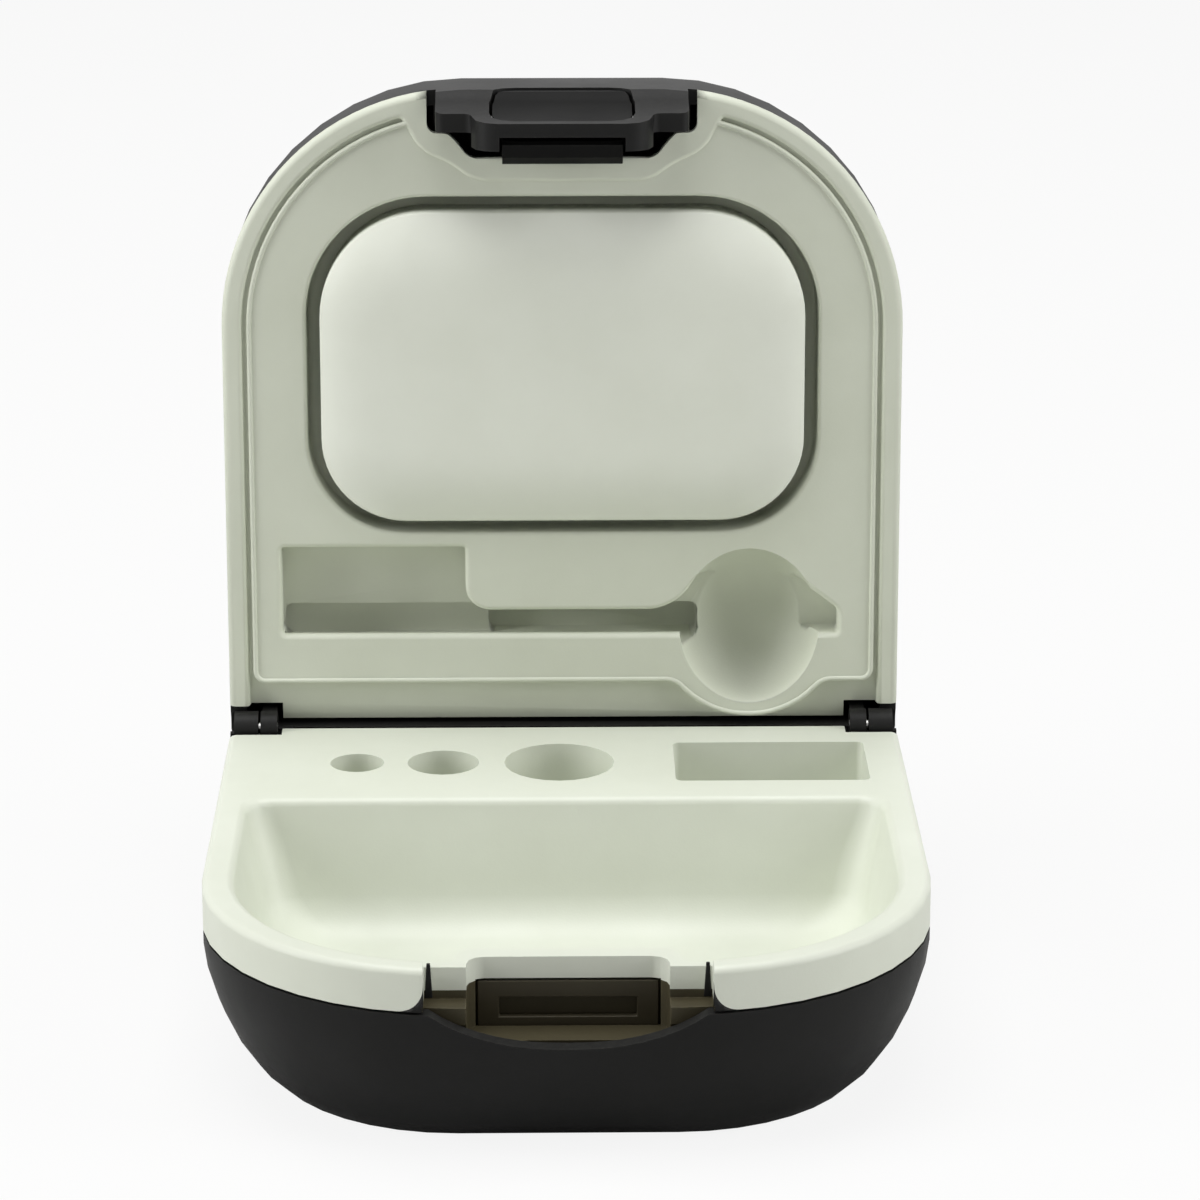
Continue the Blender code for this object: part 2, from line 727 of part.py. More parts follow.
def catch_plate():
    """The strike for the lever's barb, stood in its seat behind the lip."""
    plate = block(
        "catch_plate",
        (-CATCH_HALF_WIDTH, CATCH_HALF_WIDTH),
        (NOOK_FACE - CATCH_THICKNESS, NOOK_FACE),
        (LIP_DEPTH + GAP, NOOK_DEPTH + CATCH_FOOT - GAP),
        BASE,
    )
    window = block(
        "catch_window",
        (-CATCH_WINDOW_HALF_WIDTH, CATCH_WINDOW_HALF_WIDTH),
        (NOOK_FACE - CATCH_THICKNESS - OVERRUN, NOOK_FACE + OVERRUN),
        (CATCH_WINDOW_TOP, CATCH_WINDOW_BOTTOM),
        BASE,
    )
    cut(plate, window)
    return plate


def lid_shell():
    shell = shell_body("lid_shell", LID_HALF, -BLOCK_DROP)
    add_apron(shell)
    width = (-HALF_WIDTH - OVERRUN, HALF_WIDTH + OVERRUN)
    past = -BLOCK_DROP - OVERRUN
    around = block("round_apron", width, (0.0, FRONT + OVERRUN), (past, LID_BAND + GAP), LID)
    apron = prism("apron_outline", apron_points(), NOOK_FACE - OVERRUN, FRONT + 2 * OVERRUN, LID, "U")
    cut(around, apron)
    cut(shell, around)
    cut(shell, block("lid_rear_top", width, (-REAR_OVERHANG - OVERRUN, OVERRUN), (past, 0.0), LID))
    cut_lever_room(shell)
    add_rib(shell)
    add_hinge(shell, LID_HALF)
    return shell


def apron_points():
    """The apron from the front: two ears, and between them the block that carries the button."""
    right = [
        (APRON_HALF_WIDTH, LID_BAND + GAP + OVERRUN, 0.0),
        (APRON_HALF_WIDTH, -EAR_DROP, EAR_CORNER),
        (BLOCK_HALF_WIDTH, -EAR_DROP, EAR_CORNER),
        (BLOCK_HALF_WIDTH, -BLOCK_DROP, BLOCK_CORNER),
    ]
    return rounded(mirrored(right))


def scoop_face(recess):
    """The apron's outer face from the rim plane to its tip, or the button's, which lies a little deeper."""
    return [
        (FRONT - APRON_LEAN * lean - recess, -BLOCK_DROP * drop)
        for lean, drop in zip(SCOOP_LEAN_SHARES, SCOOP_DROP_SHARES)
    ]


def add_apron(shell):
    """Thickens the front wall into a web with two cheeks, and scoops its outer face."""
    wide = (-APRON_HALF_WIDTH - GAP, APRON_HALF_WIDTH + GAP)
    web_outer = FRONT - SHELL_WALL / 2
    join(shell, block("web", wide, (WEB_INNER, web_outer), (-BLOCK_DROP - OVERRUN, WEB_ROOT), LID))
    block_width = (-BLOCK_HALF_WIDTH - PARTING, BLOCK_HALF_WIDTH + PARTING)
    block_u = (BLOCK_INNER, (WEB_INNER + FRONT) / 2)
    join(shell, block("cheeks", block_width, block_u, (-BLOCK_DROP - OVERRUN / 2, BLOCK_ROOT), LID))
    tip = -BLOCK_DROP - 2 * OVERRUN
    face = scoop_face(0.0)
    outside = face + [(face[-1][0], tip), (FRONT + OVERRUN, tip), (FRONT + OVERRUN, 0.0)]
    cut(shell, prism("scoop", outside, wide[0] - OVERRUN, wide[1] + OVERRUN, LID, "X"))


def button_points(clearance):
    """The pill-shaped opening from the front, or the button inside it."""
    half_width = BUTTON_HALF_WIDTH - clearance
    top = BUTTON_RISE - clearance
    bottom = clearance - BUTTON_DROP
    corner = BUTTON_CORNER - clearance
    return rounded(
        [
            (half_width, top, corner),
            (half_width, bottom, corner),
            (-half_width, bottom, corner),
            (-half_width, top, corner),
        ]
    )


def cut_lever_room(shell):
    """The gap between the cheeks, the opening for the button and the blind bore for the pivot pin."""
    room = block(
        "lever_room",
        (-LEVER_ROOM_HALF_WIDTH, LEVER_ROOM_HALF_WIDTH),
        (BLOCK_INNER - OVERRUN, WEB_INNER),
        (-BLOCK_DROP - OVERRUN, BLOCK_ROOT + OVERRUN),
        LID,
    )
    cut(shell, room)
    behind = BUTTON_BACK - BUTTON_SWING
    opening = prism("button_opening", button_points(0.0), behind, FRONT + OVERRUN, LID, "U")
    cut(shell, opening)
    reach = LATCH_PIN_HALF_LENGTH + GAP
    cut(shell, rod("latch_bore", LATCH_PIN_BORE, (-reach, reach), PIVOT_U, -PIVOT_DROP, LID, PIN_SIDES))


def add_rib(shell):
    """The slotted rib under the lid's roof that holds the spring's foot."""
    roof = LID_HEIGHT - SHELL_WALL
    slot_half = SPRING_THICKNESS / 2 + GAP
    rib_half = slot_half + RIB_WALL
    rib = block(
        "spring_rib",
        (-RIB_HALF_WIDTH, RIB_HALF_WIDTH),
        (SPRING_U - rib_half, SPRING_U + rib_half),
        (roof - RIB_HEIGHT, roof + SHELL_WALL / 2),
        LID,
    )
    join(shell, rib)
    slot = block(
        "spring_slot",
        (-RIB_HALF_WIDTH - OVERRUN, RIB_HALF_WIDTH + OVERRUN),
        (SPRING_U - slot_half, SPRING_U + slot_half),
        (roof - RIB_HEIGHT - OVERRUN, roof - GAP),
        LID,
    )
    cut(shell, slot)


def tool_outline(grow):
    """The rectangle and its neck in plan, or the outside of their wall."""
    corners = (
        (TOOL_LEFT - grow, TOOL_REAR - grow),
        (TOOL_RIGHT + grow, TOOL_REAR - grow),
        (TOOL_RIGHT + grow, NECK_FRONT + grow),
        (TOOL_STEP + grow, NECK_FRONT + grow),
        (TOOL_STEP + grow, TOOL_FRONT + grow),
        (TOOL_LEFT - grow, TOOL_FRONT + grow),
    )
    return rounded([(x, u, TOOL_CORNER) for x, u in corners])


def pad_outline(grow):
    return outline(
        PAD_HALF_WIDTH + grow,
        PAD_FRONT + grow,
        PAD_REAR - grow,
        PAD_FRONT_CORNER + grow,
        PAD_REAR_CORNER + grow,
    )


def bowl_rings(grow):
    """A dish that narrows downwards, or the outside of its wall."""
    rings = []
    for step in range(FLOOR_STEPS + 1):
        angle = BOWL_SWEEP * step / FLOOR_STEPS
        share = math.cos(angle)
        plan = ellipse(BOWL_X, BOWL_U, BOWL_HALF_WIDTH * share + grow, BOWL_HALF_LENGTH * share + grow)
        depth = BOWL_DEPTH * math.sin(angle) / math.sin(BOWL_SWEEP) + grow
        rings.append((plan, depth))
    return rings


def lid_notch_outline():
    """The stepped notch in the liner's front that the apron and the lever stand in."""
    right = [
        (LID_NOTCH_HALF_WIDTH, FRONT + OVERRUN, 0.0),
        (LID_NOTCH_HALF_WIDTH, LID_NOTCH_FACE, LID_NOTCH_CORNER),
        (LID_STEP_HALF_WIDTH, LID_NOTCH_FACE, 0.0),
        (LID_STEP_HALF_WIDTH, LID_STEP_FACE, 0.0),
        (LID_NOOK_HALF_WIDTH, LID_STEP_FACE, 0.0),
        (LID_NOOK_HALF_WIDTH, LID_NOOK_FACE, 0.0),
    ]
    return rounded(mirrored(right))


def lid_deck_outline(margin, rear, rear_corner):
    inset = LID_LIP + margin
    return outline(HALF_WIDTH - inset, FRONT - inset, rear, FRONT_CORNER - inset, rear_corner)


def lid_tray():
    tray = liner_body("lid_tray", LID_HALF)
    deck = PARTING + LID_DECK_DROP
    cut(tray, hollow("lid_hollow", LID_HALF, deck + DECK))
    sunk = lid_deck_outline(0.0, -OVERRUN, REAR_CORNER)
    cut(tray, skin("lid_deck", [(sunk, -OVERRUN), (sunk, deck)], LID))
    panel = lid_deck_outline(PANEL_MARGIN, PANEL_REAR, PANEL_REAR_CORNER)
    inside_deck = deck + DECK / 2
    join(tray, skin("panel", [(panel, deck - PANEL_RISE), (panel, inside_deck)], LID))
    surround = ellipse(BOWL_X, BOWL_U, BOWL_HALF_WIDTH + BOWL_MARGIN, BOWL_HALF_LENGTH + BOWL_MARGIN)
    join(tray, skin("bowl_surround", [(surround, deck - PANEL_RISE), (surround, inside_deck)], LID))
    bed = pad_outline(PAD_GROOVE)
    bed_cup = pad_outline(PAD_GROOVE + POCKET_WALL)
    join(tray, skin("pad_cup", [(bed_cup, inside_deck), (bed_cup, PAD_BED + POCKET_WALL)], LID))
    tool_cup = tool_outline(POCKET_WALL)
    join(tray, skin("tool_cup", [(tool_cup, inside_deck), (tool_cup, TOOL_DEPTH + POCKET_WALL)], LID))
    bowl_cup = bowl_rings(POCKET_WALL)
    join(tray, skin("bowl_cup", bowl_cup, LID))
    cut(tray, skin("pad_bed", [(bed, -OVERRUN), (bed, PAD_BED)], LID))
    recess = tool_outline(0.0)
    cut(tray, skin("tool_recess", [(recess, -OVERRUN), (recess, TOOL_DEPTH)], LID))
    bowl = bowl_rings(0.0)
    cut(tray, skin("bowl", [(bowl[0][0], -OVERRUN)] + bowl, LID))
    notch = lid_notch_outline()
    cut(tray, skin("lid_notch", [(notch, -OVERRUN), (notch, LID_BAND + SKIRT + OVERRUN)], LID))
    notch_for_hinge(tray, LID_HALF)
    return tray


def lid_pad():
    """A pillow: upright sides, a soft edge and a low crown."""
    rings = [(pad_outline(0.0), PAD_BED - GAP)]
    for step in range(CORNER_STEPS + 1):
        angle = math.pi / 2 * step / CORNER_STEPS
        inset = PAD_EDGE_REACH * (1 - math.cos(angle))
        rings.append((pad_outline(-inset), -PAD_SIDE - PAD_EDGE * math.sin(angle)))
    for step in range(1, CORNER_STEPS + 1):
        share = step / CORNER_STEPS
        inset = PAD_EDGE_REACH + PAD_CROWN_REACH * share
        rings.append((pad_outline(-inset), -PAD_SIDE - PAD_EDGE - PAD_CROWN * math.sin(math.pi / 2 * share)))
    return skin("lid_pad", rings, LID)


def tongue_points():
    """The tongue from the side, from its heel round the barb to its nose."""
    barb = TONGUE_INNER - BARB_REACH
    return [
        (TONGUE_OUTER, TONGUE_HEEL),
        (TONGUE_OUTER, -TONGUE_TAPER_DROP),
        (TONGUE_OUTER - TONGUE_TAPER, -TONGUE_DROP),
        (TONGUE_INNER + BARB_NOSE, -TONGUE_DROP),
        (barb, -BARB_FLAT_DROP),
        (barb, -BARB_DROP - BARB_ROUND),
        (TONGUE_INNER, -BARB_DROP),
        (TONGUE_INNER, TONGUE_HEEL),
    ]


def latch_lever():
    lever = prism("latch_lever", tongue_points(), -TONGUE_HALF_WIDTH, TONGUE_HALF_WIDTH, LID, "X")
    button = prism("button", button_points(BUTTON_CLEARANCE), BUTTON_BACK, FRONT + OVERRUN, LID, "U")
    face = scoop_face(BUTTON_RECESS)
    tip = -BLOCK_DROP - OVERRUN
    outside = face + [(face[-1][0], tip), (FRONT + 2 * OVERRUN, tip), (FRONT + 2 * OVERRUN, 2 * OVERRUN)]
    outside.append((face[0][0], 2 * OVERRUN))
    cut(button, prism("button_face", outside, -APRON_HALF_WIDTH, APRON_HALF_WIDTH, LID, "X"))
    stem = block(
        "stem",
        (-STEM_HALF_WIDTH, STEM_HALF_WIDTH),
        (TONGUE_OUTER - STEM_OVERLAP, BUTTON_BACK + STEM_OVERLAP),
        (-PIVOT_DROP - STEM_HALF_HEIGHT, STEM_HALF_HEIGHT - PIVOT_DROP),
        LID,
    )
    join(button, stem)
    join(lever, button)
    bore = (-BUTTON_HALF_WIDTH - OVERRUN, BUTTON_HALF_WIDTH + OVERRUN)
    cut(lever, rod("lever_bore", LATCH_PIN_BORE, bore, PIVOT_U, -PIVOT_DROP, LID, PIN_SIDES))
    return lever


def latch_spring():
    """A strip that stands in the rib's slot and leans towards the heel, as a thin closed profile."""
    roof = LID_HEIGHT - SHELL_WALL
    foot = roof - 2 * GAP
    half = SPRING_THICKNESS / 2
    tip = SPRING_U + SPRING_LEAN
    points = [
        (SPRING_U - half, foot),
        (SPRING_U + half, foot),
        (SPRING_U + half, SPRING_BEND),
        (tip + half, SPRING_TIP),
        (tip - half, SPRING_TIP),
        (SPRING_U - half, SPRING_BEND),
    ]
    return prism("latch_spring", points, -SPRING_WIDTH / 2, SPRING_WIDTH / 2, LID, "X")


def hinge_pin(sign, word):
    length = (KNUCKLE_INNER, KNUCKLE_OUTER - GAP)
    return rod(f"hinge_pin_{word}", HINGE_PIN_RADIUS, to_side(length, sign), 0.0, 0.0, BASE, PIN_SIDES)


def main():
    black = (0.014, 0.014, 0.015)
    cream = (0.72, 0.75, 0.66)
    steel = (0.55, 0.55, 0.56)
    axis = (0.0, AXIS_Y, BASE_HEIGHT)
    base = new_empty("base_frame", axis)
    lid = new_empty("lid_hinge_axis", axis)
    lid.rotation_euler.x = -OPEN_ANGLE
    pivot = place(0.0, PIVOT_U, -PIVOT_DROP, LID)
    latch = new_empty("latch_pivot_axis", pivot, lid)

    show(base_shell(), new_material("base shell black", black, 0.45), base)
    show(base_tray(), new_material("base liner cream", cream, 0.4), base)
    show(catch_plate(), new_material("catch plate brown", (0.05, 0.04, 0.02), 0.4), base)
    for sign, word in SIDES:
        show(hinge_pin(sign, word), new_material(f"hinge pin steel {word}", steel, 0.3, 1.0), base)

    show(lid_shell(), new_material("lid shell black", black, 0.45), lid)
    show(lid_tray(), new_material("lid liner cream", cream, 0.4), lid)
    show(lid_pad(), new_material("lid pad cream", cream, 0.5), lid)
    show(latch_spring(), new_material("latch spring steel", steel, 0.3, 1.0), lid)
    pin = (-LATCH_PIN_HALF_LENGTH, LATCH_PIN_HALF_LENGTH)
    latch_pin = rod("latch_pin", LATCH_PIN_RADIUS, pin, PIVOT_U, -PIVOT_DROP, LID, PIN_SIDES)
    show(latch_pin, new_material("latch pin steel", steel, 0.3, 1.0), lid)

    lever = show(latch_lever(), new_material("latch lever black", black, 0.35), latch)
    lever.location = -pivot
    for helper in CUTTERS.objects:
        if helper.parent == latch:
            helper.location = -pivot


main()
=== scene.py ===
"""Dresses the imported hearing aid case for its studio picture.

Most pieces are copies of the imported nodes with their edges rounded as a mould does. The lid's liner and its pad
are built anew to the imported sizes, with the small forms that only show in a picture, laid out flat in the lid's
own plane and then stood up. Outlines, levels and insets are in millimetres, up to the call that makes a mesh of
them. Meshes, and all values that are written with MM, are in metres.
"""

import logging
import math
from collections.abc import Iterable, Sequence
from dataclasses import dataclass
from enum import Enum
from functools import cache

import bmesh
import bpy
from mathutils import Matrix, Vector


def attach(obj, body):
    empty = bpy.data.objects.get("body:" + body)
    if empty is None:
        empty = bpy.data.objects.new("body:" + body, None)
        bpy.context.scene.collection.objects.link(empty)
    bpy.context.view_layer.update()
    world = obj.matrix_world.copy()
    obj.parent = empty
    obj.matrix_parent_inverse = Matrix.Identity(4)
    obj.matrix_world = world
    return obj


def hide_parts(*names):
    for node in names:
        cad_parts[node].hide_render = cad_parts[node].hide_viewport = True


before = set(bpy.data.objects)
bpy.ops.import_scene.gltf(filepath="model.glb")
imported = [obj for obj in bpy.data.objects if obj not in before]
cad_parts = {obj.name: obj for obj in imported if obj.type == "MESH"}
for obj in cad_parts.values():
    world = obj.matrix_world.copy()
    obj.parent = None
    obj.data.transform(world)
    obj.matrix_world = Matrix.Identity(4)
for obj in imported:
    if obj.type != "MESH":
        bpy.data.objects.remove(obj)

MM = 0.001
AXIS_Y = 34.68 * MM
RIM = 22.6 * MM
LID_LEAN = math.radians(2.6)

# The case's plan, in millimetres
CASE_HALF_WIDTH = 40.0
CASE_FRONT = 76.7
CASE_CORNER = 28.2

# How far a cutting tool reaches past what it cuts, in millimetres
CLEAR = 2.0

# How many edges round a large corner
FINE_ARC = 24
SOFT_ARC = 14

# How close vertices become one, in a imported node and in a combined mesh, and which faces count as one plane
WELD = 0.002 * MM
FINE_WELD = 0.0005 * MM
FLAT_ANGLE = math.radians(0.6)

log = logging.getLogger("hearing_aid_case")


class Body(Enum):
    """The moving bodies of the case."""

    BASE = "base"
    LID = "lid"
    LATCH = "latch"


class Operation(Enum):
    """How a second closed mesh changes a first."""

    JOIN = "UNION"
    CUT = "DIFFERENCE"
    SHARE = "INTERSECT"


class Side(Enum):
    """The two sides of the case, seen from the front."""

    LEFT = -1
    RIGHT = 1


@dataclass(frozen=True)
class Rounding:
    """The radius that a mould leaves on the edges of a piece.

    Attributes:
        width: How far the rounding reaches from an edge.
        angle: The least angle between two faces that gets one, in degrees.
        segments: How many faces make the rounding.
    """

    width: float
    angle: float = 38.0
    segments: int = 3


class Graph:
    """A node tree with short calls that add and wire its nodes."""

    def __init__(self, tree: bpy.types.NodeTree) -> None:
        """Takes the tree to work on."""
        self.tree = tree

    def add(self, kind: str, inputs: dict[str | int, object] | None = None, **settings: object) -> bpy.types.Node:
        """Adds a node.

        Args:
            kind: The node's type.
            inputs: Values for its input sockets, or sockets to wire to them.
            settings: Values for the node's own properties.

        Returns:
            The new node.
        """
        node = self.tree.nodes.new(kind)
        for name, value in settings.items():
            setattr(node, name, value)
        for name, value in (inputs or {}).items():
            if isinstance(value, bpy.types.NodeSocket):
                self.tree.links.new(value, node.inputs[name])
            else:
                node.inputs[name].default_value = value
        return node

    def maths(self, operation: str, first: object, second: object = 0.0, clamp: bool = False) -> bpy.types.NodeSocket:
        """Adds a Math node.

        Args:
            operation: The sum to do.
            first: A socket or a number.
            second: A socket or a number.
            clamp: Whether the result stays between 0 and 1.

        Returns:
            The result's socket.
        """
        node = self.add("ShaderNodeMath", {0: first, 1: second}, operation=operation, use_clamp=clamp)
        return node.outputs[0]

    def spread(
        self, value: bpy.types.NodeSocket, old: tuple[float, float], new: tuple[float, float]
    ) -> bpy.types.NodeSocket:
        """Maps a value from one range to another.

        Args:
            value: The socket to map.
            old: The range it has.
            new: The range it gets.

        Returns:
            The mapped value's socket.
        """
        inputs = {"Value": value, 1: old[0], 2: old[1], 3: new[0], 4: new[1]}
        return self.add("ShaderNodeMapRange", inputs).outputs["Result"]

    def blend(self, share: object, first: object, second: object) -> bpy.types.NodeSocket:
        """Mixes two colours.

        Args:
            share: How much of the second shows.
            first: A colour or a socket.
            second: A colour or a socket.

        Returns:
            The mixed colour's socket.
        """
        node = self.add("ShaderNodeMix", data_type="RGBA")
        for socket, value in ((node.inputs[0], share), (node.inputs[6], first), (node.inputs[7], second)):
            if isinstance(value, bpy.types.NodeSocket):
                self.tree.links.new(value, socket)
            else:
                socket.default_value = value
        return node.outputs[2]


def colour(red: int, green: int, blue: int) -> tuple[float, float, float, float]:
    """Turns a screen colour into the linear one that a shader takes.

    Args:
        red: From 0 to 255.
        green: From 0 to 255.
        blue: From 0 to 255.

    Returns:
        The linear colour, opaque.
    """
    linear = []
    for part in (red, green, blue):
        value = part / 255
        linear.append(value / 12.92 if value <= 0.04045 else ((value + 0.055) / 1.055) ** 2.4)
    return (*linear, 1.0)


class EffectGroups:
    """The shader effects that several finishes share, each built once as a node group."""

    @staticmethod
    def start(
        name: str, inputs: dict[str, float | None], outputs: Sequence[str]
    ) -> tuple[Graph, bpy.types.Node, bpy.types.Node]:
        """Starts a group with its sockets.

        Args:
            name: The group's name.
            inputs: The default of each input, or None for one that takes a vector.
            outputs: The name of each output.

        Returns:
            The group's graph, its input node and its output node.
        """
        tree = bpy.data.node_groups.new(name, "ShaderNodeTree")
        for socket_name, default in inputs.items():
            kind = "NodeSocketVector" if default is None else "NodeSocketFloat"
            socket = tree.interface.new_socket(socket_name, in_out="INPUT", socket_type=kind)
            if default is not None:
                socket.default_value = default
        for socket_name in outputs:
            tree.interface.new_socket(socket_name, in_out="OUTPUT", socket_type="NodeSocketFloat")
        graph = Graph(tree)
        return graph, graph.add("NodeGroupInput"), graph.add("NodeGroupOutput")

    @cache
    def mould_grain(self) -> bpy.types.NodeTree:
        """The spark-eroded grain of a moulded face, with the slow unevenness of its colour.

        Returns:
            The group, which puts out a Height and a Mottle.
        """
        inputs = {"Vector": None, "Grain": 4200.0, "Patch": 60.0}
        graph, entry, leave = self.start("mould_grain", inputs, ("Height", "Mottle"))
        fine = graph.add(
            "ShaderNodeTexNoise",
            {"Vector": entry.outputs["Vector"], "Scale": entry.outputs["Grain"], "Detail": 2.0, "Roughness": 0.6},
        )
        pits = graph.add(
            "ShaderNodeTexVoronoi",
            {"Vector": entry.outputs["Vector"], "Scale": graph.maths("MULTIPLY", entry.outputs["Grain"], 0.45)},
            feature="SMOOTH_F1",
        )
        slow = graph.add(
            "ShaderNodeTexNoise",
            {"Vector": entry.outputs["Vector"], "Scale": entry.outputs["Patch"], "Detail": 4.0, "Roughness": 0.55},
        )
        grains = graph.maths("MULTIPLY", fine.outputs["Fac"], 0.7)
        height = graph.maths("ADD", grains, graph.maths("MULTIPLY", pits.outputs["Distance"], 0.3))
        graph.tree.links.new(height, leave.inputs["Height"])
        graph.tree.links.new(graph.spread(slow.outputs["Fac"], (0.3, 0.7), (0.0, 1.0)), leave.inputs["Mottle"])
        return graph.tree

    @cache
    def edge_rub(self) -> bpy.types.NodeTree:
        """Where hands and pockets rub a piece: its convex edges, broken up by noise.

        Returns:
            The group, which takes the rounded normal of the material and puts out a Mask.
        """
        inputs = {"Vector": None, "Rounded": None, "Amount": 1.0}
        graph, entry, leave = self.start("edge_rub", inputs, ("Mask",))
        surface = graph.add("ShaderNodeNewGeometry")
        turned = graph.add(
            "ShaderNodeVectorMath", {0: entry.outputs["Rounded"], 1: surface.outputs["Normal"]}, operation="DOT_PRODUCT"
        )
        edge = graph.spread(turned.outputs["Value"], (0.995, 0.8), (0.0, 1.0))
        noise = graph.add(
            "ShaderNodeTexNoise", {"Vector": entry.outputs["Vector"], "Scale": 900.0, "Detail": 5.0, "Roughness": 0.7}
        )
        broken = graph.spread(noise.outputs["Fac"], (0.42, 0.62), (0.0, 1.0))
        mask = graph.maths("MULTIPLY", graph.maths("MULTIPLY", edge, broken), entry.outputs["Amount"], clamp=True)
        graph.tree.links.new(mask, leave.inputs["Mask"])
        return graph.tree

    @cache
    def settled_dust(self) -> bpy.types.NodeTree:
        """Fine dust on the faces that look up as the piece stands, thin and uneven.

        Returns:
            The group, which puts out a Mask.
        """
        inputs = {"Vector": None, "Facing": None, "Amount": 0.1}
        graph, entry, leave = self.start("settled_dust", inputs, ("Mask",))
        upward = graph.add("ShaderNodeSeparateXYZ", {0: entry.outputs["Facing"]})
        lying = graph.spread(upward.outputs["Z"], (0.3, 1.0), (0.0, 1.0))
        specks = graph.add(
            "ShaderNodeTexNoise", {"Vector": entry.outputs["Vector"], "Scale": 1500.0, "Detail": 6.0, "Roughness": 0.75}
        )
        thin = graph.spread(specks.outputs["Fac"], (0.45, 0.75), (0.15, 1.0))
        mask = graph.maths("MULTIPLY", graph.maths("MULTIPLY", lying, thin), entry.outputs["Amount"], clamp=True)
        graph.tree.links.new(mask, leave.inputs["Mask"])
        return graph.tree


EFFECTS = EffectGroups()
DUST_TONE = colour(190, 188, 180)
TARNISH_TONE = colour(120, 116, 108)

# How wide an edge counts as rubbed, and how far grain, dust and rubbing change the roughness
RUBBED_WIDTH = 0.35 * MM
UNEVENNESS = 0.05
DUST_MATTNESS = 0.4
RUB_POLISH = 0.12


@dataclass(frozen=True)
class MouldedPlastic:
    """An injection-moulded plastic with a satin grain.

    Attributes:
        name: The material's name.
        tone: Its colour.
        shade: The colour of its darker patches.
        rubbed: The colour of its rubbed edges.
        roughness: Its middle roughness.
        specular: The strength of its reflection.
        grain: How many grains there are to a metre.
        depth: How deep the grain is.
        rub: How much of the edges is rubbed.
        dust: How much dust lies on it.
    """

    name: str
    tone: tuple[float, float, float, float]
    shade: tuple[float, float, float, float]
    rubbed: tuple[float, float, float, float]
    roughness: float
    specular: float = 0.4
    grain: float = 4200.0
    depth: float = 0.012 * MM
    rub: float = 0.5
    dust: float = 0.1

    def build(self) -> bpy.types.Material:
        """Makes the material.

        Returns:
            The material, or the one made before under the same name.
        """
        if self.name in bpy.data.materials:
            return bpy.data.materials[self.name]
        material = bpy.data.materials.new(self.name)
        material.use_nodes = True
        graph = Graph(material.node_tree)
        shader = material.node_tree.nodes["Principled BSDF"]
        place = graph.add("ShaderNodeTexCoord")
        spot = place.outputs["Object"]
        rounded = graph.add("ShaderNodeBevel", {"Radius": RUBBED_WIDTH}, samples=4)
        grain = graph.add("ShaderNodeGroup", {"Vector": spot, "Grain": self.grain}, node_tree=EFFECTS.mould_grain())
        rub = graph.add(
            "ShaderNodeGroup", {"Vector": spot, "Rounded": rounded.outputs["Normal"], "Amount": self.rub},
            node_tree=EFFECTS.edge_rub(),
        )
        dust = graph.add(
            "ShaderNodeGroup", {"Vector": spot, "Facing": place.outputs["Normal"], "Amount": self.dust},
            node_tree=EFFECTS.settled_dust(),
        )
        base = graph.blend(grain.outputs["Mottle"], self.tone, self.shade)
        worn = graph.blend(rub.outputs["Mask"], base, self.rubbed)
        dusty = graph.blend(dust.outputs["Mask"], worn, DUST_TONE)
        graph.tree.links.new(dusty, shader.inputs["Base Color"])
        limits = (self.roughness - UNEVENNESS, self.roughness + UNEVENNESS)
        uneven = graph.spread(grain.outputs["Mottle"], (0.0, 1.0), limits)
        matt = graph.maths("ADD", uneven, graph.maths("MULTIPLY", dust.outputs["Mask"], DUST_MATTNESS), clamp=True)
        smooth = graph.maths("SUBTRACT", matt, graph.maths("MULTIPLY", rub.outputs["Mask"], RUB_POLISH), clamp=True)
        graph.tree.links.new(smooth, shader.inputs["Roughness"])
        relief = {"Strength": 1.0, "Distance": self.depth, "Height": grain.outputs["Height"]}
        bump = graph.add("ShaderNodeBump", relief)
        graph.tree.links.new(bump.outputs["Normal"], shader.inputs["Normal"])
        shader.inputs["Specular IOR Level"].default_value = self.specular
        return material


@dataclass(frozen=True)
class DrawnSteel:
    """Drawn steel wire or strip, with fine lines along it.

    Attributes:
        name: The material's name.
        tone: Its colour.
        roughness: Its middle roughness.
        lines: How the lines are stretched along each axis.
    """

    name: str
    tone: tuple[float, float, float, float]
    roughness: float
    lines: tuple[float, float, float]

    def build(self) -> bpy.types.Material:
        """Makes the material.

        Returns:
            The material, or the one made before under the same name.
        """
        if self.name in bpy.data.materials:
            return bpy.data.materials[self.name]
        material = bpy.data.materials.new(self.name)
        material.use_nodes = True
        graph = Graph(material.node_tree)
        shader = material.node_tree.nodes["Principled BSDF"]
        place = graph.add("ShaderNodeTexCoord")
        drawn = graph.add("ShaderNodeMapping", {"Vector": place.outputs["Object"], "Scale": self.lines})
        streaks = graph.add("ShaderNodeTexNoise", {"Vector": drawn.outputs["Vector"], "Scale": 900.0, "Detail": 4.0})
        tarnish = graph.add("ShaderNodeTexNoise", {"Vector": place.outputs["Object"], "Scale": 400.0, "Detail": 3.0})
        dull = graph.spread(tarnish.outputs["Fac"], (0.35, 0.75), (0.0, 0.35))
        graph.tree.links.new(graph.blend(dull, self.tone, TARNISH_TONE), shader.inputs["Base Color"])
        uneven = graph.spread(streaks.outputs["Fac"], (0.3, 0.7), (self.roughness - 0.08, self.roughness + 0.1))
        graph.tree.links.new(uneven, shader.inputs["Roughness"])
        bump = graph.add("ShaderNodeBump", {"Distance": 0.006 * MM, "Height": streaks.outputs["Fac"]})
        graph.tree.links.new(bump.outputs["Normal"], shader.inputs["Normal"])
        shader.inputs["Metallic"].default_value = 1.0
        return material


